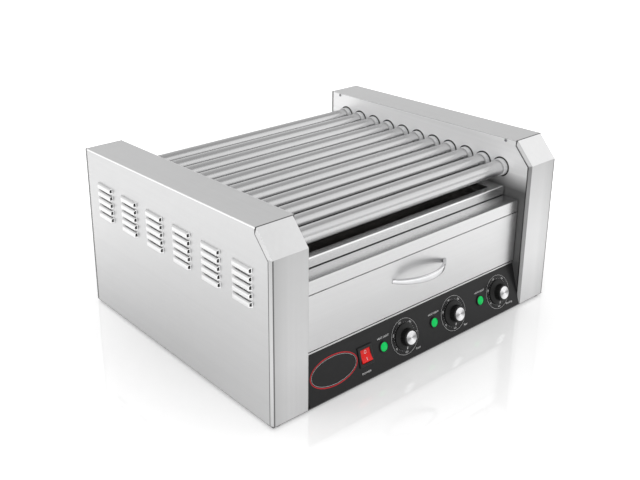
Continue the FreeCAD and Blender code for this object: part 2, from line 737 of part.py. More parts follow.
# ------------------------------------------------------------------ warm drawer
def warmer_floor():
    """Shelf above the control panel whose front lip shows under the drawer."""
    half = INNER - SIDE_GAP
    rear = REAR - DECK_REAR
    start = PLANE_Y + HEM_DEPTH
    sheet = box(-half, half, PLANE_Y, rear, SHELF_Z - SHEET, SHELF_Z)
    lip = box(-half, half, PLANE_Y, PLANE_Y + SHEET, LIP_Z, SHELF_Z)
    flanges = [
        box(x0, x1, start, rear, SHELF_Z - SHEET, SHELF_Z + FLANGE_H)
        for x0, x1 in ((half, INNER), (-INNER, -half))
    ]
    return joined([sheet, lip] + flanges)


def warmer_element():
    """Flat serpentine heating element on the shelf."""
    z = SHELF_Z + ELEMENT_R
    pieces = []
    for i in range(ELEMENT_RUNS):
        y = (i - (ELEMENT_RUNS - 1) / 2) * ELEMENT_PITCH
        pieces.append(rod_x(-ELEMENT_HALF, ELEMENT_HALF, y, z, ELEMENT_R))
        if i < ELEMENT_RUNS - 1:
            x = ELEMENT_HALF if i % 2 == 0 else -ELEMENT_HALF
            turn = Part.makeTorus(
                ELEMENT_PITCH / 2, ELEMENT_R, V(x, y + ELEMENT_PITCH / 2, z), V(0, 0, 1)
            )
            reach = ELEMENT_PITCH
            half = box(0, reach, y - reach, y + 2 * reach, SHELF_Z - 1, SHELF_Z + 9)
            half = half.translated(V(x if x > 0 else x - reach, 0, 0))
            pieces.append(turn.common(half))
    return joined(pieces)


def drawer_front():
    """Drawer's face, a shallow pan with turned-back edges."""
    half = INNER - SIDE_GAP
    face = box(-half, half, PLANE_Y, PLANE_Y + DRAWER_RETURN, DRAWER_BOTTOM, DRAWER_TOP)
    hollow = box(
        -half + SHEET, half - SHEET, PLANE_Y + SHEET, 0, DRAWER_BOTTOM + SHEET, DRAWER_TOP - SHEET
    )
    return rounded(face.cut(hollow), FOLD_R / 2, lambda p: p.y < PLANE_Y + 1e-6)


def drawer_box():
    """Open tray behind the drawer front, with a slide on each side."""
    top = DRAWER_TOP - DRAWER_HEAD
    outer = box(-BOX_HALF, BOX_HALF, BOX_FRONT, BOX_REAR, BOX_FLOOR, top)
    inside = box(
        -BOX_HALF + DRAWER_T, BOX_HALF - DRAWER_T,
        BOX_FRONT + DRAWER_T, BOX_REAR - DRAWER_T,
        BOX_FLOOR + DRAWER_T, top + 1,
    )
    slide = drawer_slide()
    return joined([outer.cut(inside), slide, mirrored(slide)])


def drawer_slide():
    """Channel on the right side of the drawer box that runs in the runner."""
    start = BOX_FRONT + DRAWER_RETURN
    outer = box(BOX_HALF, BOX_HALF + SLIDE_W, start, BOX_REAR, SLIDE_Z, SLIDE_Z + SLIDE_H)
    hollow = box(
        BOX_HALF - 1, BOX_HALF + SLIDE_W - SLIDE_T, start - 1, BOX_REAR + 1,
        SLIDE_Z + SLIDE_T, SLIDE_Z + SLIDE_H - SLIDE_T,
    )
    return outer.cut(hollow)


def drawer_runners():
    """Channel on each inner wall round the drawer's slide."""
    start = FRONT + RUNNER_SETBACK
    low = SLIDE_Z - SLIDE_FIT - RUNNER_T
    high = SLIDE_Z + SLIDE_H + SLIDE_FIT + RUNNER_T
    outer = box(BOX_HALF + 2 * SLIDE_T, INNER, start, BOX_REAR, low, high)
    hollow = box(
        BOX_HALF, INNER - RUNNER_T, start - 1, BOX_REAR + 1, low + RUNNER_T, high - RUNNER_T
    )
    runner = outer.cut(hollow)
    return Part.makeCompound([runner, mirrored(runner)])


def drawer_handle():
    """Bow handle: a curved band whose two feet lie on the drawer."""
    z = DRAWER_TOP - HANDLE_DROP
    inner_half = HANDLE_HALF - HANDLE_TIP

    def bow(half, proud, level):
        arc = Part.Arc(V(-half, 0, level), V(0, -proud, level), V(half, 0, level))
        return arc.toShape()

    level = z - HANDLE_H
    outline = Part.Wire(
        [
            bow(HANDLE_HALF, HANDLE_PROUD, level),
            Part.makeLine(V(HANDLE_HALF, 0, level), V(inner_half, 0, level)),
            bow(inner_half, HANDLE_PROUD - HANDLE_T, level),
            Part.makeLine(V(-inner_half, 0, level), V(-HANDLE_HALF, 0, level)),
        ]
    )
    band = Part.Face(outline).extrude(V(0, 0, 2 * HANDLE_H))

    def sweep(sign):
        tip, middle = z + sign * HANDLE_TIP_H / 2, z + sign * HANDLE_H / 2
        return Part.Arc(
            V(-sign * HANDLE_HALF, 0, tip), V(0, 0, middle), V(sign * HANDLE_HALF, 0, tip)
        ).toShape()

    side = HANDLE_HALF
    low, high = z - HANDLE_TIP_H / 2, z + HANDLE_TIP_H / 2
    front_view = Part.Wire(
        [
            sweep(1),
            Part.makeLine(V(side, 0, high), V(side, 0, low)),
            sweep(-1),
            Part.makeLine(V(-side, 0, low), V(-side, 0, high)),
        ]
    )
    lens = Part.Face(front_view).extrude(V(0, -2 * HANDLE_PROUD, 0))
    handle = band.common(lens)
    long_edges = [
        e for e in handle.Edges
        if any(v.Point.x * w.Point.x < 0 for v in e.Vertexes for w in e.Vertexes)
    ]
    handle = handle.makeFillet(HANDLE_ROUND, long_edges)
    return handle.translated(V(0, PLANE_Y, 0))


# --------------------------------------------------------------- control panel
def panel_cutters():
    """Holes for the thermostats, the lamps and the switch, in panel axes."""
    thermostat = Part.makeCylinder(BUSHING_R + 0.1, 6 * SHEET, V(0, 0, -3 * SHEET))
    lamp = Part.makeCylinder(LAMP_BODY_R + 0.1, 6 * SHEET, V(0, 0, -3 * SHEET))
    wide, tall, _ = SWITCH_BODY
    switch = box(-wide / 2, wide / 2, -tall / 2, tall / 2, -3 * SHEET, 3 * SHEET)
    holes = [on_panel(thermostat, x) for x in DIAL_X] + [on_panel(lamp, x) for x in LAMP_X]
    return Part.makeCompound(holes + [on_panel(switch, ROCKER_X)])


def control_panel():
    """Sloping panel with flanges above and below."""
    half = INNER - PANEL_END
    plate = on_panel(box(-half, half, PANEL_SILL, PANEL_SLOPE, -SHEET, 0), 0, 0)
    foot = box(-half, half, FRONT + SHEET, FRONT + PANEL_FLANGE, BASE_TOP, BASE_TOP + SHEET)
    head_y = PANEL_TOP_Y + PANEL_FLANGE
    head = box(-half, half, PANEL_TOP_Y + SHEET / 2, head_y, PANEL_TOP_Z - SHEET, PANEL_TOP_Z - 0.1)
    return joined([plate, foot, head]).cut(panel_cutters())


def thermostats():
    """Thermostat behind each dial, with its threaded bush and nut."""
    body = Part.makeCylinder(THERMOSTAT_R, THERMOSTAT_L, V(0, 0, -SHEET - THERMOSTAT_L))
    bush = Part.makeCylinder(BUSHING_R, SHEET + NUT_T, V(0, 0, -SHEET))
    sixths = [k * math.pi / 3 for k in range(6)]
    nut = face_of([V(NUT_R * math.cos(a), NUT_R * math.sin(a), 0) for a in sixths])
    bore = Part.makeCylinder(SPINDLE_R + SPINDLE_FIT, SPINDLE_L + 2 * NUT_T, V(0, 0, -SPINDLE_L - 1))
    piece = joined([body, bush, nut.extrude(V(0, 0, NUT_T))]).cut(bore)
    return Part.makeCompound([on_panel(piece, x) for x in DIAL_X])


def knob(x):
    """Knob with a pointer skirt, a fluted barrel and its spindle."""
    room = NUT_R + NUT_ROOM
    ceiling = NUT_T + NUT_ROOM
    seat = KNOB_H + CAP_PROUD - CAP_T
    outline = [
        (room, KNOB_GAP),
        (KNOB_SKIRT_R, KNOB_GAP),
        (KNOB_SKIRT_R, KNOB_GAP + 1.2),
        (KNOB_BARREL_R + 1.5, KNOB_GAP + 3.2),
        (KNOB_BARREL_R + 0.4, KNOB_GAP + 4.0),
        (KNOB_BARREL_R - 0.5, KNOB_H - 0.8),
        (KNOB_BARREL_R - 1.3, KNOB_H),
        (CAP_R, KNOB_H),
        (CAP_R, seat),
        (0, seat),
        (0, -SPINDLE_L),
        (SPINDLE_R, -SPINDLE_L),
        (SPINDLE_R, ceiling),
        (room, ceiling),
    ]
    body = turned(outline)
    step = 2 * math.pi / KNOB_FLUTES
    flutes = [
        Part.makeCylinder(
            FLUTE_R,
            KNOB_H,
            V(
                (KNOB_BARREL_R + 0.3) * math.cos(k * step),
                (KNOB_BARREL_R + 0.3) * math.sin(k * step),
                KNOB_GAP + 4.0,
            ),
        )
        for k in range(KNOB_FLUTES)
    ]
    return on_panel(body.cut(Part.makeCompound(flutes)), x)


def knob_cap(x):
    """Bright disc set in a knob's face."""
    seat = KNOB_H + CAP_PROUD - CAP_T
    top = KNOB_H + CAP_PROUD
    return on_panel(turned([(0, seat), (CAP_R, seat), (CAP_R, top - 0.3), (CAP_R - 0.3, top), (0, top)]), x)


def lamp_lenses():
    """Domed pilot lamp lenses with their bodies behind the panel."""
    rise = LAMP_DOME
    radius = (LAMP_R * LAMP_R + rise * rise) / (2 * rise)
    ball = Part.makeSphere(radius, V(0, 0, BEZEL_H / 2 + rise - radius))
    barrel = Part.makeCylinder(LAMP_R, BEZEL_H / 2)
    dome = ball.common(Part.makeCylinder(LAMP_R, rise, V(0, 0, BEZEL_H / 2)))
    body = Part.makeCylinder(LAMP_BODY_R, LAMP_BODY_L, V(0, 0, -LAMP_BODY_L))
    lamp = joined([dome, barrel, body])
    return Part.makeCompound([on_panel(lamp, x) for x in LAMP_X])


def lamp_bezels():
    """Ring round each lens."""
    outer = LAMP_R + BEZEL_T
    ring = turned(
        [(LAMP_R, 0), (outer, 0), (outer, BEZEL_H - 0.6), (outer - 0.6, BEZEL_H), (LAMP_R, BEZEL_H)]
    )
    return Part.makeCompound([on_panel(ring, x) for x in LAMP_X])


def switch_housing():
    """Frame and body of the rocker switch, with holes for the rocker's pins."""
    wide, tall, proud = SWITCH
    frame = box(-wide / 2, wide / 2, -tall / 2, tall / 2, 0, proud)
    frame = rounded(frame, 1.2, lambda p: p.z > proud - 1e-6)
    body_w, body_h, deep = SWITCH_BODY
    body = box(-body_w / 2, body_w / 2, -body_h / 2, body_h / 2, -deep, 0)
    half_w, half_h = ROCKER_W / 2 + ROCKER_ROOM, ROCKER_R + ROCKER_ROOM
    well = box(-half_w, half_w, -half_h, half_h, ROCKER_AXIS - ROCKER_R, proud + 1)
    reach = half_w + ROCKER_PIN_L
    pins = rod_x(-reach, reach, 0, ROCKER_AXIS, ROCKER_PIN_R + PIN_FIT)
    return on_panel(frame.fuse(body).cut(well).cut(pins), ROCKER_X)


def rocker():
    """Rocker at rest in its off position, its lower end proud."""
    edge = math.radians(ROCKER_EDGE)
    tip = (ROCKER_R * math.cos(edge), ROCKER_R * math.sin(edge))
    side = math.sqrt(ROCKER_R**2 - ROCKER_BELLY**2)

    def at(y, z):
        return V(-ROCKER_W / 2, y, z)

    outline = Part.Wire(
        [
            Part.Arc(at(-tip[0], tip[1]), at(0, tip[1] - ROCKER_DIP), at(*tip)).toShape(),
            Part.Arc(at(*tip), at(ROCKER_R, 0), at(side, -ROCKER_BELLY)).toShape(),
            Part.makeLine(at(side, -ROCKER_BELLY), at(-side, -ROCKER_BELLY)),
            Part.Arc(at(-side, -ROCKER_BELLY), at(-ROCKER_R, 0), at(-tip[0], tip[1])).toShape(),
        ]
    )
    paddle = Part.Face(outline).extrude(V(ROCKER_W, 0, 0))
    reach = ROCKER_W / 2 + ROCKER_PIN_L
    body = paddle.fuse(rod_x(-reach, reach, 0, 0, ROCKER_PIN_R))
    body.rotate(V(0, 0, 0), V(1, 0, 0), -ROCKER_REST)
    return on_panel(body.translated(V(0, 0, ROCKER_AXIS)), ROCKER_X)


# ------------------------------------------------------------------------ build
def all_parts():
    """Every sub-part by name."""
    parts = {}
    for name, make in (
        ("inner_wall", inner_wall),
        ("front_post", front_post),
        ("outer_cover", outer_cover),
    ):
        right = make()
        parts[name + "_right"] = right
        parts[name + "_left"] = mirrored(right)
    for make in (
        rear_panel, base_plate, rubber_feet, cover_screws, cable_gland,
        roller_bushings, heater_rods, heater_supports,
        drive_sprocket, drive_chain, motor_bracket, gear_motor,
        warmer_deck, drip_tray, warmer_floor, warmer_element,
        drawer_front, drawer_box, drawer_runners, drawer_handle,
        control_panel, thermostats, lamp_lenses, lamp_bezels, switch_housing, rocker,
    ):
        parts[make.__name__] = make()
    for i, y in enumerate(ROLLER_Y, 1):
        parts[f"roller_tube_{i:02d}"] = roller_tube(y)
        parts[f"roller_sprocket_{i:02d}"] = roller_sprocket(y)
    for place, x in zip(("right", "middle", "left"), DIAL_X):
        parts["knob_" + place] = knob(x)
        parts["knob_cap_" + place] = knob_cap(x)
    return parts


def main():
    """Write one STEP file for each sub-part."""
    os.makedirs("parts", exist_ok=True)
    for name, shape in all_parts().items():
        shape.exportStep(f"parts/{name}.step")
        size = shape.BoundBox
        print(
            f"{name:22s} solids {len(shape.Solids):3d} valid {shape.isValid()} "
            f"volume {shape.Volume:10.0f}  y {size.YMin:.1f}..{size.YMax:.1f} "
            f"z {size.ZMin:.1f}..{size.ZMax:.1f}"
        )


main()
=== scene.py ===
"""Looks of a hot dog roller grill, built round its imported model.

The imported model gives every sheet, roller and knob its shape.  This script
dresses those pieces, prints the control panel, and adds the small parts that
only show close up.  Lengths are metres; +X is to the right seen from the front,
the front faces -Y, and +Z is up.
"""
from __future__ import annotations

import json
import logging
import math
from dataclasses import dataclass, field
from enum import Enum
from typing import Any, Callable, Iterable, Sequence

import bpy
import numpy as np
from mathutils import Matrix, Quaternion, Vector

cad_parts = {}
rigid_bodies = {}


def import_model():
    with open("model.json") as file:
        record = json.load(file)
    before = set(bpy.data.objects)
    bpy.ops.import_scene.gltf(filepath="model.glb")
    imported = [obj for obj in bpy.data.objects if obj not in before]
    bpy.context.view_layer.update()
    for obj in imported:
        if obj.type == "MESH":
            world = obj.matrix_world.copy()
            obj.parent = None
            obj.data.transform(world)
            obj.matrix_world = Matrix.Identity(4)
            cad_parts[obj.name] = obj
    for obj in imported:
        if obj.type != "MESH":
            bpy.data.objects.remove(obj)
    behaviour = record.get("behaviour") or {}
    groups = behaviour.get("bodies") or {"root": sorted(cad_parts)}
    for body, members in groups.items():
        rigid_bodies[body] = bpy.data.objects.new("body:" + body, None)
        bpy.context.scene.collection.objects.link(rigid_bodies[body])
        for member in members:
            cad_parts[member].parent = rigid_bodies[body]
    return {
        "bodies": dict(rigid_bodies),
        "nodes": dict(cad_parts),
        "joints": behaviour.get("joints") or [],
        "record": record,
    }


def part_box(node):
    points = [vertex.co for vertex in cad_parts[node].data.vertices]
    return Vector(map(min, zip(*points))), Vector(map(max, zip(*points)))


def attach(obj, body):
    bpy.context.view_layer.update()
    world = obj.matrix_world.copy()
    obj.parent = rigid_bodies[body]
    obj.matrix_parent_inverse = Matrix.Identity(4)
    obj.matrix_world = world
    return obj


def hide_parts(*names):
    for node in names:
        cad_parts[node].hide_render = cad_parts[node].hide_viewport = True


LOG = logging.getLogger("roller_grill")
MM = 0.001

DIAL_SIDES = ("left", "middle", "right")
HOUSING_SIDES = (("right", 1), ("left", -1))

# Short names for types.  A Word is its text, the height of its capitals, its
# width or None, and its place to the right and up.
Two = tuple[float, float]
Three = tuple[float, float, float]
Four = tuple[float, float, float, float]
Colour = Three
Socket = bpy.types.NodeSocket
NodeTree = bpy.types.NodeTree
Piece = bpy.types.Object
Word = tuple[str, float, float | None, float, float]

WHITE: Colour = (1.0, 1.0, 1.0)
BLACK: Colour = (0.0, 0.0, 0.0)

# Where a front post meets its cover, seen from the side: the Y of the lower and
# the upper upright stretch, the height at which the sloping one ends, and the
# share of Y and of Z in the way that the slope faces.
SEAM_FOOT, SEAM_HEAD, CORNER_TOP = -226.9 * MM, -200.9 * MM, 271.2 * MM
CORNER_FACING = (0.737, 0.676)

# Height of print above the surface that it lies on, the height of a capital in
# the lettering's own units, and how much bolder its strokes are made.
INK_LIFT = 0.06 * MM
CAPITAL, BOLDER = 0.729, 0.012


def scaled(colour: Colour, share: float, plus: float = 0.0) -> Colour:
    """The colour times share, with plus added, and no more than white."""
    return tuple(min(1.0, c * share + plus) for c in colour)


# ------------------------------------------------------------------ node trees
class Tree:
    """Short way to write a shader node tree."""

    def __init__(self, nodes: NodeTree) -> None:
        """Wrap a node tree and empty it."""
        self.tree = nodes
        self.tree.nodes.clear()

    def add(self, kind: str, settings: dict[str, Any] | None = None, **inputs: Any) -> bpy.types.Node:
        """Add a node.

        Args:
            kind: Blender's node type without its ShaderNode prefix.
            settings: Attributes to set on the node.
            inputs: Socket values, or output sockets to link, by socket name
                with spaces written as underscores.

        Returns:
            The new node.
        """
        node = self.tree.nodes.new("ShaderNode" + kind)
        for key, value in (settings or {}).items():
            setattr(node, key, value)
        for key, value in inputs.items():
            self.feed(node, key.replace("_", " "), value)
        return node

    def feed(self, node: bpy.types.Node, socket: str | int, value: Any) -> None:
        """Link or set one input socket."""
        if isinstance(socket, str) and socket.startswith("i") and socket[1:].isdigit():
            socket = int(socket[1:])
        if isinstance(value, Socket):
            self.tree.links.new(value, node.inputs[socket])
        else:
            node.inputs[socket].default_value = value

    def maths(self, operation: str, first: Any, second: Any = 0.0) -> Socket:
        """Return the result socket of a Math node."""
        return self.add("Math", {"operation": operation}, i0=first, i1=second).outputs[0]

    def blend(self, factor: Any, low: Any, high: Any) -> Socket:
        """Return a colour mixed between low and high, each a colour or a socket."""
        node = self.add("Mix", {"data_type": "RGBA"}, i0=factor)
        for socket, value in ((6, low), (7, high)):
            self.feed(node, socket, (*value, 1.0) if isinstance(value, tuple) else value)
        return node.outputs[2]

    def product(self, first: Any, *others: Any) -> Socket:
        """Return all the values multiplied together."""
        for other in others:
            first = self.maths("MULTIPLY", first, other)
        return first

    def effect(self, group: NodeTree, **inputs: Any) -> bpy.types.Node:
        """Place a shared group and feed its inputs."""
        return self.add("Group", {"node_tree": group}, **inputs)

    def place(self) -> Socket:
        """Return the place on the piece, in metres."""
        return self.add("TexCoord").outputs["Object"]

    def ramp(self, value: Any, start: Any, full: Any, low: float = 0.0, high: float = 1.0) -> Socket:
        """Return low up to start, high past full, and a straight line between."""
        return self.add(
            "MapRange", Value=value, From_Min=start, From_Max=full, To_Min=low, To_Max=high
        ).outputs[0]

    def noise(self, place: Any, scale: float, detail: float, roughness: float = 0.5) -> Socket:
        """Return fractal noise read at place."""
        return self.add(
            "TexNoise", Vector=place, Scale=scale, Detail=detail, Roughness=roughness
        ).outputs["Fac"]

    def seen(self) -> Socket:
        """Return 1 for rays of the camera, of gloss and of glass."""
        rays = self.add("LightPath").outputs
        gloss = self.maths("MAXIMUM", rays["Is Camera Ray"], rays["Is Glossy Ray"])
        return self.maths("MAXIMUM", gloss, rays["Is Transmission Ray"])


class GroupBook:
    """Shader effects that several finishes share, each built once."""

    def __init__(self) -> None:
        """Start with no group built."""
        self._built: dict[str, NodeTree] = {}

    def _group(
        self,
        name: str,
        inputs: dict[str, Any],
        outputs: Sequence[str],
        fill: Callable[[Tree, Any], dict[str, Any]],
    ) -> NodeTree:
        """Build a group on its first use.

        Args:
            name: The group's name.
            inputs: Default of each input: a number, three numbers for a
                vector, or None for a vector with no default.
            outputs: Name of each output; Normal is a vector, the rest numbers.
            fill: Called with the tree and the group's inputs; returns the
                socket for each output.

        Returns:
            The group's node tree.
        """
        if name in self._built:
            return self._built[name]
        group = bpy.data.node_groups.new(name, "ShaderNodeTree")
        for label, default in inputs.items():
            kind = "NodeSocketFloat" if isinstance(default, float) else "NodeSocketVector"
            made = group.interface.new_socket(name=label, in_out="INPUT", socket_type=kind)
            if default is not None:
                made.default_value = default
        for label in outputs:
            kind = "NodeSocketVector" if label == "Normal" else "NodeSocketFloat"
            group.interface.new_socket(name=label, in_out="OUTPUT", socket_type=kind)
        tree = Tree(group)
        inside = group.nodes.new("NodeGroupInput")
        outside = group.nodes.new("NodeGroupOutput")
        for label, socket in fill(tree, inside.outputs).items():
            tree.feed(outside, label, socket)
        self._built[name] = group
        return group

    def brushed_grain(self) -> NodeTree:
        """Fine scratches: three octaves of noise stretched along the grain."""

        def fill(tree: Tree, given: Any) -> dict[str, Any]:
            """Mix fine and broad noise, seven parts to three."""
            stretched = tree.add(
                "VectorMath", {"operation": "MULTIPLY"}, i0=given["Vector"], i1=given["Stretch"]
            ).outputs[0]
            fine = tree.noise(stretched, scale=1.0, detail=3.0, roughness=0.65)
            broad = tree.noise(stretched, scale=0.12, detail=2.0)
            both = tree.maths("ADD", tree.product(fine, 0.7), tree.product(broad, 0.3))
            return {"Height": both, "Tone": broad}

        inputs = {"Vector": None, "Stretch": (1000.0, 1000.0, 1000.0)}
        return self._group("brushed grain", inputs, ("Height", "Tone"), fill)

    def handling_marks(self) -> NodeTree:
        """Cloth wipes and finger marks: a soft cloud broken by a finer one."""

        def fill(tree: Tree, given: Any) -> dict[str, Any]:
            """Multiply the two clouds and keep what stands out."""
            cloud = tree.noise(given["Vector"], scale=9.0, detail=4.0, roughness=0.55)
            finer = tree.noise(given["Vector"], scale=55.0, detail=3.0, roughness=0.6)
            shaped = tree.ramp(tree.product(cloud, finer), start=0.15, full=0.4)
            return {"Mask": tree.product(shaped, given["Amount"])}

        return self._group("handling marks", {"Vector": None, "Amount": 1.0}, ("Mask",), fill)

    def eased_edges(self) -> NodeTree:
        """Edges read as slightly rounded, with a mask of where they turn."""

        def fill(tree: Tree, given: Any) -> dict[str, Any]:
            """Compare the eased normal with the flat one."""
            eased = tree.add("Bevel", {"samples": 4}, Radius=given["Radius"]).outputs[0]
            flat = tree.add("NewGeometry").outputs["True Normal"]
            same = tree.add("VectorMath", {"operation": "DOT_PRODUCT"}, i0=eased, i1=flat)
            return {"Normal": eased, "Mask": tree.ramp(same.outputs["Value"], start=1.0, full=0.8)}

        return self._group("eased edges", {"Radius": 0.6 * MM}, ("Normal", "Mask"), fill)

    def moulded_grain(self) -> NodeTree:
        """Fine pebbled skin of moulded plastic and rubber."""

        def fill(tree: Tree, given: Any) -> dict[str, Any]:
            """Cells for the skin, and a cloud of dust for its tone."""
            cells = tree.add("TexVoronoi", Vector=given["Vector"], Scale=given["Density"])
            dust = tree.noise(given["Vector"], scale=120.0, detail=3.0)
            return {"Height": cells.outputs["Distance"], "Tone": dust}

        inputs = {"Vector": None, "Density": 2500.0}
        return self._group("moulded grain", inputs, ("Height", "Tone"), fill)

    def seam_shadow(self) -> NodeTree:
        """Dark line where a front post meets its cover and wall.

        The seam is upright, then slopes back along the corner, then is upright
        again.  The distance behind it is the larger of two: the distance
        behind the last stretch, and the smaller one behind the first two.
        """

        def fill(tree: Tree, given: Any) -> dict[str, Any]:
            """Fade the distance from the seam out over the line's width."""
            axes = tree.add("SeparateXYZ", Vector=given["Vector"]).outputs
            foot = tree.maths("SUBTRACT", axes["Y"], SEAM_FOOT)
            back = tree.maths("SUBTRACT", axes["Y"], SEAM_HEAD)
            run = tree.product(back, CORNER_FACING[0])
            rise = tree.product(tree.maths("SUBTRACT", axes["Z"], CORNER_TOP), CORNER_FACING[1])
            corner = tree.maths("MINIMUM", foot, tree.maths("SUBTRACT", run, rise))
            behind = tree.maths("ABSOLUTE", tree.maths("MAXIMUM", corner, back))
            reach = tree.maths("DIVIDE", behind, given["Width"])
            return {"Mask": tree.ramp(reach, start=0.6, full=1.0, low=1.0, high=0.0)}

        return self._group("seam shadow", {"Vector": None, "Width": 1.0 * MM}, ("Mask",), fill)

    def dark_band(self) -> NodeTree:
        """Band that rises from Start to Full, and ends at End below the height Below."""

        def fill(tree: Tree, given: Any) -> dict[str, Any]:
            """Multiply the rise by the two ends."""
            up = tree.ramp(given["Place"], given["Start"], given["Full"])
            past = tree.maths("LESS_THAN", given["Place"], given["End"])
            low = tree.maths("LESS_THAN", given["Height"], given["Below"])
            return {"Mask": tree.product(up, tree.product(past, low))}

        inputs = dict.fromkeys(("Place", "Height", "Start", "Full", "End", "Below"), 0.0)
        return self._group("dark band", inputs, ("Mask",), fill)


class Grain(Enum):
    """Direction in which a sheet was brushed, as its stretch of the noise per metre."""

    ALONG_X = (12.0, 1600.0, 1600.0)
    ALONG_Y = (1600.0, 12.0, 1600.0)
    ALONG_Z = (1600.0, 1600.0, 12.0)


class Finish:
    """Base of every finish: makes its material on first use and puts it on pieces."""

    label: str

    def material(self) -> bpy.types.Material:
        """Return this finish's material, built once."""
        made = bpy.data.materials.get(self.name())
        if made is None:
            made = bpy.data.materials.new(self.name())
            made.use_nodes = True
            tree = Tree(made.node_tree)
            output = tree.add("OutputMaterial")
            tree.feed(output, "Surface", self.shade(tree))
        return made

    def name(self) -> str:
        """Name of the material."""
        return self.label

    def shade(self, tree: Tree) -> Socket:
        """Build the shader in tree and return its output socket."""
        raise NotImplementedError

    def dress(self, pieces: Iterable[Piece]) -> None:
        """Put the material on every slot of each piece."""
        for piece in pieces:
            if not piece.material_slots:
                piece.data.materials.append(self.material())
            for place in piece.material_slots:
                place.material = self.material()


GROUPS = GroupBook()


@dataclass(frozen=True)
class Band:
    """Stretch of a sheet where shade is painted darker, or a highlight painted lighter.

    It rises from start to full along the axis, ends at end, and keeps the
    share keep of the sheet's tone; past 1, the rest is white that it gains.
    X is counted from the middle both ways.
    """

    axis: str
    start: float
    full: float
    keep: float
    end: float = 9.0
    below: float = 9.0


@dataclass(frozen=True)
class BrushedSteel(Finish):
    """Stainless sheet with a one-way grain, soft smears and eased edges, with painted shade and painted
    highlights laid on its colour.

    fold is a painted highlight along a rounded fold of a sloping top: how far
    out it is, its lower edge at the middle of the depth, and its rise towards
    the back. dark_lines is the share of the colour in the grain's darkest lines,
    and edge_highlight_share the share of the painted edge highlight that an eased
    edge takes up.
    """

    sheet: str = "body"
    grain: Grain = Grain.ALONG_X
    colour: Colour = (0.6, 0.6, 0.602)
    roughness: Two = (0.26, 0.36)
    scratch: float = 0.06
    smear: float = 0.07
    edge_radius: float = 0.7 * MM
    bands: tuple[Band, ...] = ()
    seam: float = 0.0
    edge_shine: float = 1.12
    fold: Three | None = None
    fold_soft: float = 0.8 * MM
    fold_shine: float = 0.8
    seam_depth: float = 0.8
    dark_lines: float = 0.93
    edge_highlight_share: float = 0.6
    scratch_depth: float = 0.05 * MM

    def name(self) -> str:
        """Name of the material, one for each kind of sheet."""
        return self.sheet + " steel"

    def shade(self, tree: Tree) -> Socket:
        """Metal whose roughness and tone follow the grain and the smears; its tone has painted highlights
        on the edges and the painted light of tint.
        """
        place = tree.place()
        grain = tree.effect(GROUPS.brushed_grain(), Vector=place, Stretch=self.grain.value)
        marks = tree.effect(GROUPS.handling_marks(), Vector=place, Amount=0.5)
        edges = tree.effect(GROUPS.eased_edges(), Radius=self.edge_radius)
        tone = tree.blend(grain.outputs["Tone"], scaled(self.colour, self.dark_lines), self.colour)
        # Painted highlight: the colour is made lighter where the eased edges turn.
        bright = scaled(self.colour, self.edge_shine)
        edge_lit = tree.blend(tree.product(edges.outputs["Mask"], self.edge_highlight_share), tone, bright)
        base = tree.ramp(grain.outputs["Height"], 0.0, 1.0, *self.roughness)
        rough = tree.maths("ADD", base, tree.product(marks.outputs["Mask"], self.smear))
        bump = tree.add(
            "Bump", Strength=self.scratch, Distance=self.scratch_depth,
            Height=grain.outputs["Height"], Normal=edges.outputs["Normal"],
        )
        return tree.add(
            "BsdfPrincipled", Base_Color=self.tint(tree, place, edge_lit), Metallic=1.0,
            Roughness=rough, Normal=bump.outputs[0],
        ).outputs[0]

    def tint(self, tree: Tree, place: Any, clean: Any) -> Any:
        """Paint shade along the bands and the seam, and paint highlights on bands whose keep is past 1
        and along the fold.
        """
        axes = tree.add("SeparateXYZ", Vector=place).outputs
        across = {"X": tree.maths("ABSOLUTE", axes["X"]), "Y": axes["Y"], "Z": axes["Z"]}
        tone = clean
        # Painted shade, or a painted highlight where keep is past 1.
        for band in self.bands:
            mask = tree.effect(
                GROUPS.dark_band(), Place=across[band.axis], Height=axes["Z"],
                Start=band.start, Full=band.full, End=band.end, Below=band.below,
            ).outputs["Mask"]
            goal = WHITE if band.keep > 1 else BLACK
            tone = tree.blend(tree.product(mask, abs(1 - band.keep)), tone, goal)
        # Painted shadow along the seam.
        if self.seam:
            mask = tree.effect(GROUPS.seam_shadow(), Vector=place, Width=self.seam).outputs["Mask"]
            tone = tree.blend(tree.product(mask, self.seam_depth), tone, BLACK)
        # Painted highlight along the rounded fold of the top.
        if self.fold:
            side, foot, slope = self.fold
            level = tree.maths("SUBTRACT", axes["Z"], tree.product(axes["Y"], slope))
            near = tree.ramp(level, foot, foot + self.fold_soft)
            outer = tree.maths("GREATER_THAN", across["X"], side)
            tone = tree.blend(tree.product(near, outer, self.fold_shine), tone, WHITE)
        return tone


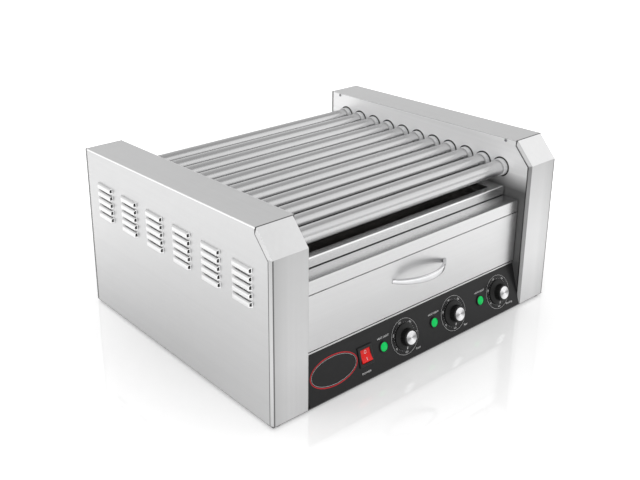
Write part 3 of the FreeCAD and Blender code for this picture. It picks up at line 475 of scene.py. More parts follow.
@dataclass(frozen=True)
class TraySteel(BrushedSteel):
    """Tray sheet with painted shade inside it, below its rim.

    Each pair is where the dark begins and where it is full: down from the rim's
    height, across the line of the sides, and back from the front.
    """

    rim_height: float = 0.2
    half_width: float = 0.2
    front: float = -0.17
    rim_fade: Two = (0.8 * MM, 2.5 * MM)
    side_fade: Two = (1.0 * MM, -1.0 * MM)
    front_fade: Two = (1.0 * MM, 3.0 * MM)
    painted_shade_dark: Colour = (0.04, 0.037, 0.034)
    painted_shade_lighter: Colour = (0.11, 0.102, 0.092)

    def tint(self, tree: Tree, place: Any, clean: Any) -> Any:
        """Clean steel on the rim, with painted shade below it and between the sides."""
        axes = tree.add("SeparateXYZ", Vector=place).outputs
        across = tree.maths("ABSOLUTE", axes["X"])
        clear, full = (self.rim_height - down for down in self.rim_fade)
        below = tree.ramp(axes["Z"], full, clear, 1.0, 0.0)
        clear, full = (self.half_width + out for out in self.side_fade)
        between = tree.ramp(across, full, clear, 1.0, 0.0)
        clear, full = (self.front + back for back in self.front_fade)
        inside = tree.product(below, between, tree.ramp(axes["Y"], clear, full))
        # Painted shade inside the tray, mottled between two dark tones by the handling-marks cloud.
        marks = tree.effect(GROUPS.handling_marks(), Vector=place, Amount=1.0).outputs["Mask"]
        return tree.blend(inside, clean, tree.blend(marks, self.painted_shade_dark, self.painted_shade_lighter))


@dataclass(frozen=True)
class PlainMetal(Finish):
    """Metal without a grain: polished, zinc plated or dull, by its numbers."""

    label: str = "polished steel"
    colour: Colour = (0.86, 0.86, 0.87)
    roughness: Two = (0.08, 0.14)
    edge_radius: float = 0.4 * MM
    mottle: float = 0.08

    def shade(self, tree: Tree) -> Socket:
        """Metal with faint mottling and handling marks."""
        place = tree.place()
        marks = tree.effect(GROUPS.handling_marks(), Vector=place, Amount=1.0).outputs["Mask"]
        edges = tree.effect(GROUPS.eased_edges(), Radius=self.edge_radius)
        tone = tree.blend(marks, self.colour, scaled(self.colour, 1 - self.mottle))
        rough = tree.ramp(marks, 0.0, 1.0, *self.roughness)
        return tree.add(
            "BsdfPrincipled", Base_Color=tone, Metallic=1.0, Roughness=rough,
            Normal=edges.outputs["Normal"],
        ).outputs[0]


@dataclass(frozen=True)
class SpunMetal(Finish):
    """Disc turned on a lathe, with fine darker rings and a painted reflection: two darker wedges that
    stand for the fan of its glints.
    """

    label: str = "spun aluminium"
    colour: Colour = (0.74, 0.74, 0.75)
    dark: Colour = (0.05, 0.05, 0.05)
    roughness: float = 0.26
    fan: float = 0.42
    fan_power: float = 6.0
    spread: float = 0.8
    ring_count: float = 60.0
    ring_depth: float = 0.3
    deepest: float = 0.8

    def shade(self, tree: Tree) -> Socket:
        """Metal stretched round the disc, darker in fine rings, with two wedges of painted reflection."""
        flow = tree.add("Tangent", {"direction_type": "UV_MAP", "uv_map": "rings"})
        around = tree.add("UVMap", {"uv_map": "rings"}).outputs[0]
        turn, radius = (tree.add("SeparateXYZ", Vector=around).outputs[k] for k in ("X", "Y"))
        rings = tree.add(
            "TexNoise", {"noise_dimensions": "1D"}, W=radius, Scale=self.ring_count, Detail=2.0
        ).outputs["Fac"]
        # Painted reflection: two darker wedges fixed round the disc.
        wave = tree.maths("ABSOLUTE", tree.maths("COSINE", tree.product(turn, 2 * math.pi)))
        wedge = tree.product(tree.maths("POWER", wave, self.fan_power), 1 - self.fan)
        both = tree.maths("ADD", wedge, tree.product(rings, self.ring_depth))
        tone = tree.blend(tree.maths("MINIMUM", both, self.deepest), self.colour, self.dark)
        return tree.add(
            "BsdfPrincipled", Base_Color=tone, Metallic=1.0, Roughness=self.roughness,
            Anisotropic=self.spread, Tangent=flow.outputs[0],
        ).outputs[0]


@dataclass(frozen=True)
class Moulded(Finish):
    """Moulded plastic, rubber, print or paint, by its numbers.

    Dust lightens the colour by a share and by a plain amount.
    """

    label: str = "black plastic"
    colour: Colour = (0.008, 0.008, 0.0085)
    roughness: Two = (0.36, 0.48)
    shine: float = 0.3
    grain: float = 0.1
    density: float = 2500.0
    coat: float = 0.0
    coat_roughness: float = 0.08
    edge_radius: float = 0.35 * MM
    grain_depth: float = 0.03 * MM
    dust: Two = (1.15, 0.004)
    glow: float = 0.0

    def shade(self, tree: Tree) -> Socket:
        """Pebbled skin with a little dust in its tone."""
        place = tree.place()
        skin = tree.effect(GROUPS.moulded_grain(), Vector=place, Density=self.density)
        edges = tree.effect(GROUPS.eased_edges(), Radius=self.edge_radius)
        tone = tree.blend(skin.outputs["Tone"], self.colour, scaled(self.colour, *self.dust))
        rough = tree.ramp(skin.outputs["Tone"], 0.0, 1.0, *self.roughness)
        bump = tree.add(
            "Bump", Strength=self.grain, Distance=self.grain_depth,
            Height=skin.outputs["Height"], Normal=edges.outputs["Normal"],
        )
        body = tree.add(
            "BsdfPrincipled", Base_Color=tone, Roughness=rough, Normal=bump.outputs[0],
            Coat_Weight=self.coat, Coat_Roughness=self.coat_roughness, Specular_IOR_Level=self.shine,
        )
        # Painted glow: the part's own colour is added as light.
        if self.glow:
            tree.feed(body, "Emission Color", (*self.colour, 1.0))
            tree.feed(body, "Emission Strength", self.glow)
        return body.outputs[0]


def ink(label: str, colour: Colour, roughness: Two = (0.4, 0.5)) -> Moulded:
    """Finish of a print in one colour."""
    return Moulded(label=label, colour=colour, roughness=roughness, grain=0.02)


WHITE_INK = ink("white ink", (0.8, 0.8, 0.8), (0.45, 0.55))
RED_INK = ink("red ink", (0.62, 0.02, 0.03))
POINTER_INK = ink("pointer ink", (0.85, 0.85, 0.85))
ROCKER_INK = ink("rocker ink", (0.85, 0.85, 0.85))
SHADE = Moulded("housing shade", (0.03, 0.03, 0.03), (0.7, 0.8))
# Black finish for the rings that stand for the painted shade round the bush collars.
COLLAR_SHADE = Moulded("seal rubber", (0.012, 0.012, 0.012), (0.6, 0.7))


def settle(
    piece: Piece, finish: Finish, body: str, stands_for: str | None = None
) -> None:
    """Dress a new piece, make it ride on its body, and report it.

    Args:
        piece: The piece, at its place.
        finish: Its finish.
        body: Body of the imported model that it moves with.
        stands_for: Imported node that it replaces, or None.
    """
    finish.dress([piece])
    if stands_for:
        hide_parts(stands_for)
    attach(piece, body)
    LOG.info("made %s", piece.name)


# ----------------------------------------------------------------- mesh helpers
def linked(name: str, data: Any) -> Piece:
    """Make an object of data and link it to the scene."""
    made = bpy.data.objects.new(name, data)
    bpy.context.scene.collection.objects.link(made)
    return made


def rows_of(x: Any, y: Any, z: Any = 0.0) -> np.ndarray:
    """Rows of x, y, z from arrays or numbers that are spread to one shape."""
    return np.stack(np.broadcast_arrays(x, y, z), axis=-1).reshape(-1, 3)


def piece_from(
    name: str, points: np.ndarray, faces: np.ndarray | list[Sequence[int]], smooth: bool = True
) -> Piece:
    """Make an object at the origin from points and faces.

    Args:
        name: Name of the piece.
        points: One row of x, y, z for each vertex, in metres.
        faces: Vertex numbers of each face.
        smooth: Whether the faces are shaded smooth.

    Returns:
        The linked object.
    """
    mesh = bpy.data.meshes.new(name)
    rows = faces.tolist() if isinstance(faces, np.ndarray) else faces
    mesh.from_pydata(points.reshape(-1, 3).tolist(), [], rows)
    mesh.polygons.foreach_set("use_smooth", np.full(len(rows), smooth))
    mesh.update()
    return linked(name, mesh)


def grid_faces(rows: int, columns: int, wrap_rows: bool, wrap_columns: bool) -> np.ndarray:
    """Quads of a grid of vertices numbered row by row.

    Args:
        rows: Number of rows of vertices.
        columns: Number of vertices in a row.
        wrap_rows: Whether the last row joins the first.
        wrap_columns: Whether the last column joins the first.

    Returns:
        An array of four vertex numbers for each quad.
    """
    i = np.arange(rows if wrap_rows else rows - 1)[:, None]
    j = np.arange(columns if wrap_columns else columns - 1)[None, :]
    i1, j1 = (i + 1) % rows, (j + 1) % columns
    corners = [i * columns + j, i * columns + j1, i1 * columns + j1, i1 * columns + j]
    return np.stack([np.broadcast_to(c, (i.size, j.size)) for c in corners], axis=-1).reshape(-1, 4)


def tube_faces(rows: int, columns: int, flip: bool = False) -> list[tuple[int, ...]]:
    """Faces of a tube of rows of vertices, with both ends closed.

    Args:
        rows: Number of rings of vertices.
        columns: Number of vertices in a ring.
        flip: Whether to turn every face over.

    Returns:
        The quads in order, then the first and the last end.
    """
    last = (rows - 1) * columns
    ends = [tuple(range(columns - 1, -1, -1)), tuple(range(last, last + columns))]
    faces = [*map(tuple, grid_faces(rows, columns, False, True).tolist()), *ends]
    return [face[::-1] for face in faces] if flip else faces


def turned_points(profile: np.ndarray, steps: int) -> np.ndarray:
    """Points of a profile turned about Z.

    Circle k has the radius profile[k, 0] and the height profile[k, 1]:
    x = r cos t, y = r sin t, z = h.
    """
    t = np.linspace(0, 2 * np.pi, steps, endpoint=False)
    r, h = profile[:, :1], profile[:, 1:]
    return rows_of(r * np.cos(t), r * np.sin(t), h)


def lathe_piece(
    name: str, profile: np.ndarray, matrix: Matrix, steps: int = 64, mapped: bool = False
) -> Piece:
    """Turned piece with closed ends.

    The profile is turned about Z, its first and last circles are closed by flat
    faces, and matrix carries the whole to its place.

    Args:
        name: Name of the piece.
        profile: Rows of radius and height, from one end to the other.
        matrix: Carries the piece to its place.
        steps: Points round each circle.
        mapped: Whether to add the map "rings", turn across and radius up.

    Returns:
        The linked object.
    """
    points, _ = transformed((turned_points(profile, steps), None), matrix)
    piece = piece_from(name, points, tube_faces(len(profile), steps))
    if mapped:
        rows = np.repeat(np.arange(len(profile) - 1), steps)
        turns = np.tile(np.arange(steps), len(profile) - 1)
        across = np.stack([turns, turns + 1, turns + 1, turns], axis=-1) / steps
        radius = profile[:, 0] / profile[:, 0].max()
        up = np.stack([radius[rows], radius[rows], radius[rows + 1], radius[rows + 1]], axis=-1)
        quad_uv = np.stack([across, up], axis=-1).reshape(-1, 2)
        round_uv = np.stack([np.arange(steps) / steps, np.zeros(steps)], axis=-1)
        uv = np.concatenate([quad_uv, round_uv[::-1], round_uv])
        piece.data.uv_layers.new(name="rings").data.foreach_set("uv", uv.ravel())
    return piece


@dataclass(frozen=True)
class PanelSeat:
    """Flat place on the sloping panel: x to the right, s up the slope, n outwards."""

    origin: Vector
    outward: Vector

    def matrix(self, x: float = 0.0, s: float = 0.0, n: float = 0.0, turn: float = 0.0) -> Matrix:
        """Matrix that carries a drawing to a place on the panel.

        Args:
            x: Distance to the right of the seat.
            s: Distance up the slope.
            n: Height off the panel.
            turn: Turn of the drawing in its own plane, in radians.

        Returns:
            A 4x4 matrix for points in (x, s, n).
        """
        right = Vector((1.0, 0.0, 0.0))
        up = self.outward.cross(right)
        basis = Matrix((right, up, self.outward)).transposed().to_4x4()
        basis.translation = self.origin
        return basis @ Matrix.Translation((x, s, n)) @ Matrix.Rotation(turn, 4, "Z")


@dataclass
class Frame:
    """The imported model: its nodes by name, and the places that its joints give."""

    loaded: dict[str, Any]
    seats: dict[str, PanelSeat] = field(default_factory=dict)

    def __post_init__(self) -> None:
        """Find the seat of each dial and of the rocker from their joints."""
        joints = {j["name"]: j for j in self.loaded["joints"]}
        normal = -Vector(joints["dial_right_turn"]["axis"]).normalized()
        for side in DIAL_SIDES:
            place = Vector(joints[f"dial_{side}_turn"]["pos_m"])
            self.seats[side] = PanelSeat(place, normal)
        self.seats["rocker"] = PanelSeat(Vector(joints["rocker_tilt"]["pos_m"]), normal)

    def nodes(self, *starts: str) -> list[Piece]:
        """Every node whose name begins with one of the given words."""
        return [o for n, o in self.loaded["nodes"].items() if n.startswith(starts)]


@dataclass
class SubAssembly:
    """Group of pieces of the grill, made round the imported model."""

    frame: Frame

    def make(self) -> None:
        """Make or dress the pieces."""
        raise NotImplementedError


# ------------------------------------------------------------------- the body
@dataclass
class Body(SubAssembly):
    """Sheet steel, rollers and inner works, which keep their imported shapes."""

    tray_rim: Two = (24 * MM, 12 * MM)

    def make(self) -> None:
        """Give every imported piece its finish."""
        for finish, names in (*self._sheets(), *self._metals(), *self._mouldings()):
            finish.dress(self.frame.nodes(*names.split()))

    def _sheets(self) -> tuple[tuple[Finish, str], ...]:
        """Finish of each sheet and of the rollers, with the starts of their names."""
        seam = 0.9 * MM
        front: Colour = (0.62, 0.62, 0.622)
        # Painted shade on the front posts: dark lines at the outer and inner bevels, darker towards the
        # outer edge, and darker upwards to the knee.
        post_bands = (
            Band("X", 285.6 * MM, 286.4 * MM, 0.3, 288.1 * MM, 245.2 * MM),
            Band("X", 262.0 * MM, 286.0 * MM, 0.86, 288.1 * MM, 245.2 * MM),
            Band("X", 226.0 * MM, 226.3 * MM, 0.45, 229.6 * MM),
            Band("Z", 90.0 * MM, 243.0 * MM, 0.7, 245.2 * MM),
        )
        # Painted shadow of the gaps along the rear panel's outer edges and beside the inner walls.
        rear_bands = (
            Band("X", 288.9 * MM, 289.2 * MM, 0.3),
            Band("X", 226.2 * MM, 226.3 * MM, 0.4, 227.0 * MM),
        )
        # Painted highlights on the cover: the louvre hoods past its face are lighter, and so are the top
        # fold and the eased edges.
        cover = BrushedSteel(
            "cover", Grain.ALONG_Y, (0.58, 0.58, 0.582), (0.3, 0.42), edge_radius=1.8 * MM,
            bands=(Band("X", 290.3 * MM, 290.9 * MM, 1.4),), seam=seam, edge_shine=1.65,
            fold=(289.2 * MM, 271.9 * MM, -0.0306),
        )
        # Painted light on the inner walls: the steel is given a near-white, lit colour, with painted
        # shade darker towards the bottom.
        wall = BrushedSteel(
            "wall", Grain.ALONG_Y, (0.96, 0.96, 0.962), (0.62, 0.72),
            bands=(Band("Z", 226.0 * MM, 198.0 * MM, 0.2),), seam=seam,
        )
        deck = BrushedSteel(
            "deck", colour=(0.6, 0.6, 0.602), roughness=(0.25, 0.262), scratch=0.02, smear=0.012
        )
        roller = BrushedSteel(
            "roller", colour=(0.5, 0.5, 0.503), roughness=(0.2, 0.27), scratch=0.02
        )
        low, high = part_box("drip_tray")
        tray = TraySteel(
            "tray", colour=(0.78, 0.78, 0.782), roughness=(0.24, 0.252), scratch=0.02, smear=0.012,
            rim_height=high[2], half_width=high[0] - self.tray_rim[0], front=low[1] + self.tray_rim[1],
        )
        return (
            (cover, "outer_cover"),
            (wall, "inner_wall"),
            (BrushedSteel("post", Grain.ALONG_Z, front, bands=post_bands, seam=seam), "front_post"),
            (BrushedSteel("rear", bands=rear_bands), "rear_panel"),
            (BrushedSteel("drawer", colour=front), "drawer_front drawer_box"),
            (deck, "warmer_deck warmer_floor"),
            (BrushedSteel("base", colour=(0.2, 0.2, 0.202)), "base_plate"),
            (tray, "drip_tray"),
            (roller, "roller_tube"),
        )

    def _metals(self) -> tuple[tuple[Finish, str], ...]:
        """Finish of the works and the screws, with the starts of their names."""
        works = "drawer_runners motor_bracket heater_supports drive_ thermostats roller_sprocket"
        return (
            (PlainMetal("zinc plate", (0.6, 0.6, 0.6), (0.3, 0.42)), works),
            (PlainMetal("screw steel", (0.3, 0.3, 0.31), (0.25, 0.35)), "cover_screws"),
            (PlainMetal("heater sheath", (0.4, 0.4, 0.4), (0.4, 0.5)), "heater_rods warmer_element"),
        )

    def _mouldings(self) -> tuple[tuple[Finish, str], ...]:
        """Finish of plastic, rubber and painted pieces, with the starts of their names."""
        film = Moulded("panel film", (0.013, 0.013, 0.0135), (0.3, 0.38), 0.2, 0.05, 4000.0)
        return (
            (Moulded("bush plastic", (0.62, 0.625, 0.63), (0.3, 0.4)), "roller_bushings"),
            (Moulded("motor paint", (0.2, 0.2, 0.21), (0.4, 0.5)), "gear_motor"),
            (Moulded("foot rubber", (0.02, 0.02, 0.02), (0.6, 0.75)), "rubber_feet"),
            (film, "control_panel"),
            (Moulded("knob plastic", (0.006, 0.006, 0.006), shine=0.28), "knob_"),
            (Moulded(), "switch_housing lamp_bezels cable_gland"),
            # The lamp lenses and the rocker glow as painted light.
            (Moulded("lamp lens", (0.0, 0.62, 0.12), (0.2, 0.26), 0.2, 0.02, glow=0.2), "lamp_lenses"),
            (Moulded("rocker red", (0.84, 0.014, 0.012), (0.2, 0.28), 0.25, 0.02, glow=0.06), "rocker"),
        )


# ------------------------------------------------------------ printed on the panel
@dataclass
class PanelPrint(SubAssembly):
    """White print on the black film: dial rings, numbers and words.

    Angles are in degrees.  A word is its text, the height of its capitals, the
    width it is stretched to, and its place beside a dial or the rocker.
    """

    ring: Two = (27.0 * MM, 27.35 * MM)
    ticks: Three = (20.9 * MM, 22.0 * MM, 0.28 * MM)
    labels: tuple[str, ...] = ("OFF", "50", "100", "150", "200", "250")
    number_radius: float = 23.6 * MM
    number_height: float = 2.5 * MM
    first_angle: float = -93.0
    sweep: float = -270.0
    tick_count: int = 26
    circle_steps: int = 96
    lamp_word: Word = ("HEAT LIGHT", 2.8 * MM, 23.0 * MM, -42.2 * MM, 14.0 * MM)
    knob_words: tuple[str, ...] = ("Front", "Rear", "Warming")
    knob_place: Three = (3.1 * MM, 23.0 * MM, -25.4 * MM)
    switch_word: Word = ("POWER", 2.6 * MM, 17.5 * MM, -2.3 * MM, -24.4 * MM)

    def make(self) -> None:
        """Print the three dials and the words."""
        for side in DIAL_SIDES:
            settle(self._dial(side), WHITE_INK, "chassis")
        settle(self._words(), WHITE_INK, "chassis")

    def _dial(self, side: str) -> Piece:
        """Ring, ticks and numbers of one dial as one piece."""
        parts = [self._ring_mesh(), self._tick_mesh()]
        step = self.sweep / (len(self.labels) - 1)
        for k, label in enumerate(self.labels):
            angle = math.radians(self.first_angle + k * step)
            place = Matrix.Translation(
                (self.number_radius * math.cos(angle), self.number_radius * math.sin(angle), 0)
            )
            turn = Matrix.Rotation(angle - math.pi / 2, 4, "Z")
            parts.append(transformed(lettering(label, self.number_height), place @ turn))
        return joined_piece(f"dial_print_{side}", parts, self.frame.seats[side].matrix(n=INK_LIFT))

    def _ring_mesh(self) -> tuple[np.ndarray, np.ndarray]:
        """Flat ring: two circles, inner and outer, joined by quads."""
        profile = np.array([[self.ring[1], 0.0], [self.ring[0], 0.0]])
        points = turned_points(profile, self.circle_steps)
        return points, grid_faces(2, self.circle_steps, False, True)

    def _tick_mesh(self) -> tuple[np.ndarray, np.ndarray]:
        """Small radial bars, evenly turned from the first angle through the sweep."""
        inner, outer, half = self.ticks[0], self.ticks[1], self.ticks[2] / 2
        angle = np.radians(self.first_angle + self.sweep * np.linspace(0, 1, self.tick_count))
        along = np.array([inner, outer, outer, inner])
        across = np.array([-half, -half, half, half])
        cos, sin = np.cos(angle)[:, None], np.sin(angle)[:, None]
        x, y = along * cos - across * sin, along * sin + across * cos
        return rows_of(x, y), np.arange(4 * self.tick_count).reshape(-1, 4)

    def _words(self) -> Piece:
        """Words beside the lamps, the knobs and the switch."""
        home = self.frame.seats["middle"]
        height, right, up = self.knob_place
        rows = []
        for side, text in zip(DIAL_SIDES, self.knob_words):
            rows += [(side, self.lamp_word), (side, (text, height, None, right, up))]
        rows.append(("rocker", self.switch_word))
        parts = []
        for seat, (text, height, width, right, up) in rows:
            shift = self.frame.seats[seat].origin.x - home.origin.x
            place = Matrix.Translation((shift + right, up, 0))
            parts.append(transformed(lettering(text, height, width), place))
        return joined_piece("panel_words", parts, home.matrix(n=INK_LIFT))


def lettering(
    text: str, height: float, width: float | None = None
) -> tuple[np.ndarray, list[Sequence[int]]]:
    """Flat letters centred on the origin.

    Args:
        text: What it says.
        height: Height of a capital.
        width: Width to stretch the line to, or None for its natural width.

    Returns:
        Points and faces of the letters.
    """
    curve = bpy.data.curves.new("letters", "FONT")
    curve.body = text
    curve.size = 1.0
    curve.resolution_u = 3
    curve.offset = BOLDER
    carrier = linked("letters", curve)
    bpy.context.view_layer.update()
    shown = carrier.evaluated_get(bpy.context.evaluated_depsgraph_get())
    mesh = bpy.data.meshes.new_from_object(shown)
    points = np.zeros(len(mesh.vertices) * 3)
    mesh.vertices.foreach_get("co", points)
    points = points.reshape(-1, 3)
    faces = [tuple(p.vertices) for p in mesh.polygons]
    bpy.data.objects.remove(carrier)
    bpy.data.curves.remove(curve)
    bpy.data.meshes.remove(mesh)
    low, high = points.min(axis=0), points.max(axis=0)
    points = points - (low + high) / 2
    scale = height / CAPITAL
    across = width / (high[0] - low[0]) if width else scale
    points = points * np.array([across, scale, 0.0])
    return points, faces


def transformed(part: tuple[np.ndarray, Any], matrix: Matrix) -> tuple[np.ndarray, Any]:
    """The part with its points carried by matrix."""
    points, faces = part
    m = np.array(matrix)
    return points @ m[:3, :3].T + m[:3, 3], faces


def joined_piece(name: str, parts: list[tuple[np.ndarray, Any]], matrix: Matrix) -> Piece:
    """Make one object of several parts.

    Args:
        name: Name of the piece.
        parts: Points and faces of each part.
        matrix: Carries all of them to their place.

    Returns:
        The linked object.
    """
    points, faces, start = [], [], 0
    for some, rows in parts:
        points.append(some)
        faces += [tuple(int(v) + start for v in row) for row in rows]
        start += len(some)
    together, _ = transformed((np.concatenate(points), None), matrix)
    return piece_from(name, together, faces, smooth=False)


# ------------------------------------------------------------ knobs and switch
@dataclass
class Knobs(SubAssembly):
    """Spun caps and pointer marks of the three knobs.

    mark is where the mark starts and ends from the middle, and its width; skirt
    the radius and height of two places on the slope that it lies on.
    """

    cap_middle: float = 0.2 * MM
    cap_radius: float = 10.3 * MM
    cap_low: float = 13.3 * MM
    cap_top: float = 14.5 * MM
    cap_edge: float = 0.35 * MM
    dish: float = 0.25 * MM
    mark: Three = (15.0 * MM, 19.2 * MM, 1.5 * MM)
    skirt: Four = (14.7 * MM, 3.8 * MM, 20.0 * MM, 1.8 * MM)
    mark_lift: float = 0.08 * MM
    mark_steps: tuple[int, int] = (6, 3)
    edge_steps: int = 5
    face_steps: int = 13
    off_angle: float = -93.0

    def make(self) -> None:
        """Cap and mark each knob; both turn with it."""
        for side in DIAL_SIDES:
            seat = self.frame.seats[side].matrix()
            cap = lathe_piece(f"cap_disc_{side}", self._cap_profile(), seat, mapped=True)
            settle(cap, SpunMetal(), f"dial_{side}", f"knob_cap_{side}")
            settle(self._mark(side), POINTER_INK, f"dial_{side}")

    def _cap_profile(self) -> np.ndarray:
        """Underside, rounded edge, then a face dished by a cosine towards the middle."""
        turn = np.linspace(0, np.pi / 2, self.edge_steps)
        flat = self.cap_radius - self.cap_edge
        edge_r = flat + self.cap_edge * np.cos(turn)
        edge_h = self.cap_top - self.cap_edge + self.cap_edge * np.sin(turn)
        face_r = np.linspace(flat, self.cap_middle, self.face_steps + 1)[1:]
        face_h = self.cap_top - self.dish * (0.5 + 0.5 * np.cos(np.pi * face_r / self.cap_radius))
        radius = np.concatenate([[self.cap_middle, self.cap_radius], edge_r, face_r])
        height = np.concatenate([[self.cap_low, self.cap_low], edge_h, face_h])
        return np.stack([radius, height], axis=-1)

    def _mark(self, side: str) -> Piece:
        """Bar down the skirt's slope: a grid of r by width, with n on the line of the slope."""
        inner, outer, width = self.mark
        r0, n0, r1, n1 = self.skirt
        along, across = self.mark_steps
        r = np.linspace(inner, outer, along)[:, None]
        w = np.linspace(-width / 2, width / 2, across)[None, :]
        n = n0 + (n1 - n0) * (r - r0) / (r1 - r0) + self.mark_lift
        a = math.radians(self.off_angle)
        x, s = r * math.cos(a) - w * math.sin(a), r * math.sin(a) + w * math.cos(a)
        part = (rows_of(x, s, n), grid_faces(along, across, False, False))
        return joined_piece(f"pointer_{side}", [part], self.frame.seats[side].matrix())


@dataclass
class RockerMarks(SubAssembly):
    """Ring and bar printed on the dished face of the rocker.

    tip is how far along and how high the face's end is, dip how deep its middle
    lies.  The marks are a height along the face, a radius or length, and a width.
    """

    tip: Two = (9.177 * MM, 4.676 * MM)
    dip: float = 1.6 * MM
    rest: float = math.radians(-11.0)
    ring: Three = (5.0 * MM, 1.9 * MM, 0.5 * MM)
    ring_stretch: float = 1.25
    bar: Three = (-5.0 * MM, 4.2 * MM, 0.75 * MM)
    ring_steps: int = 32
    bar_steps: int = 8

    def make(self) -> None:
        """Print both marks; they tilt with the rocker."""
        height, radius, line = self.ring
        turn = np.linspace(0, 2 * np.pi, self.ring_steps, endpoint=False)[None, :]
        r = np.array([radius + line / 2, radius - line / 2])[:, None]
        ring = self._wrapped(r * np.cos(turn), height + self.ring_stretch * r * np.sin(turn))
        height, length, line = self.bar
        up = np.linspace(height - length / 2, height + length / 2, self.bar_steps)
        bar = self._wrapped(*np.meshgrid([-line / 2, line / 2], up))
        parts = [
            (ring, grid_faces(2, self.ring_steps, False, True)),
            (bar, grid_faces(self.bar_steps, 2, False, False)),
        ]
        piece = joined_piece("rocker_marks", parts, self.frame.seats["rocker"].matrix())
        settle(piece, ROCKER_INK, "switch_rocker")

    def _wrapped(self, x: np.ndarray, y: np.ndarray) -> np.ndarray:
        """Lay flat points on the face: a hollow arc along y, tilted about the pivot."""
        bend = (self.tip[0] ** 2 + self.dip**2) / (2 * self.dip)
        z = self.tip[1] - self.dip + bend - np.sqrt(bend**2 - y**2) + INK_LIFT
        c, d = math.cos(self.rest), math.sin(self.rest)
        return rows_of(x, y * c - z * d, y * d + z * c)


@dataclass
class Badge(SubAssembly):
    """Plain oval line where such a grill has its badge; it is left empty.

    A line is its name, ink and slot, and how far in from the oval it starts and
    how wide it is.
    """

    centre: Two = (-247.0 * MM, 0.5 * MM)
    half: Two = (44.0 * MM, 22.0 * MM)
    steps: int = 96
    lines: tuple[tuple[str, Moulded, str, float, float], ...] = (
        ("red", RED_INK, "rocker_red", 0.0, 1.5 * MM),
        ("white", WHITE_INK, "cap_silver", 2.6 * MM, 0.35 * MM),
    )

    def make(self) -> None:
        """Print the two oval lines."""
        turn = np.linspace(0, 2 * np.pi, self.steps, endpoint=False)[None, :]
        seat = self.frame.seats["middle"].matrix(n=INK_LIFT)
        for name, colour, slot, inset, width in self.lines:
            shrink = np.array([inset, inset + width])[:, None]
            x = self.centre[0] + (self.half[0] - shrink) * np.cos(turn)
            s = self.centre[1] + (self.half[1] - shrink) * np.sin(turn)
            part = (rows_of(x, s), grid_faces(2, self.steps, False, True))
            settle(joined_piece(f"badge_line_{name}", [part], seat), colour, "chassis")


# --------------------------------------------------------- handle and painted shade pieces
@dataclass
class HandleBar(SubAssembly):
    """Polished bow handle with a rounded section that thins towards its feet.

    outer and inner are the half width and the depth of the bow's two lines, and
    height the section's height at the middle and at the feet.
    """

    outer: Two = (57.9 * MM, 25.9 * MM)
    inner: Two = (49.1 * MM, 21.4 * MM)
    height: Two = (10.9 * MM, 6.4 * MM)
    squareness: float = 0.62
    steps: tuple[int, int] = (72, 28)

    def make(self) -> None:
        """Carry the section along the bow.

        The outer and the inner line are arcs through the feet and the middle.
        At each place the section is a rounded box between the two lines: the
        cosine and the sine of its angle, each raised to the squareness.  The
        feet lie on the drawer front's outer face.
        """
        low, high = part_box("drawer_handle")
        along, around = self.steps
        share = np.linspace(-1, 1, along)
        far, near = self._arc(share, *self.outer), self._arc(share, *self.inner)
        middle, reach = (far + near) / 2, (far - near) / 2
        tall = (self.height[1] + (self.height[0] - self.height[1]) * (1 - share**2)) / 2
        turn = np.linspace(0, 2 * np.pi, around, endpoint=False)
        c = np.sign(np.cos(turn)) * np.abs(np.cos(turn)) ** self.squareness
        d = np.sign(np.sin(turn)) * np.abs(np.sin(turn)) ** self.squareness
        flat = middle[:, None, :] + reach[:, None, :] * c[None, :, None]
        z = (low[2] + high[2]) / 2 + tall[:, None] * d[None, :]
        points = np.concatenate([flat, z[:, :, None]], axis=-1)
        points[:, :, 1] += float(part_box("drawer_front")[0][1])
        piece = piece_from("handle_bar", points, tube_faces(along, around, flip=True))
        polished = PlainMetal(colour=(0.68, 0.68, 0.69), roughness=(0.12, 0.18))
        settle(piece, polished, "drawer", "drawer_handle")

    def _arc(self, share: np.ndarray, half: float, proud: float) -> np.ndarray:
        """Points (x, y) of the arc through (-half, 0), (0, -proud) and (half, 0), evenly turned."""
        bend = (half**2 + proud**2) / (2 * proud)
        swing = math.asin(half / bend) * share
        return np.stack([bend * np.sin(swing), bend - proud - bend * np.cos(swing)], axis=-1)


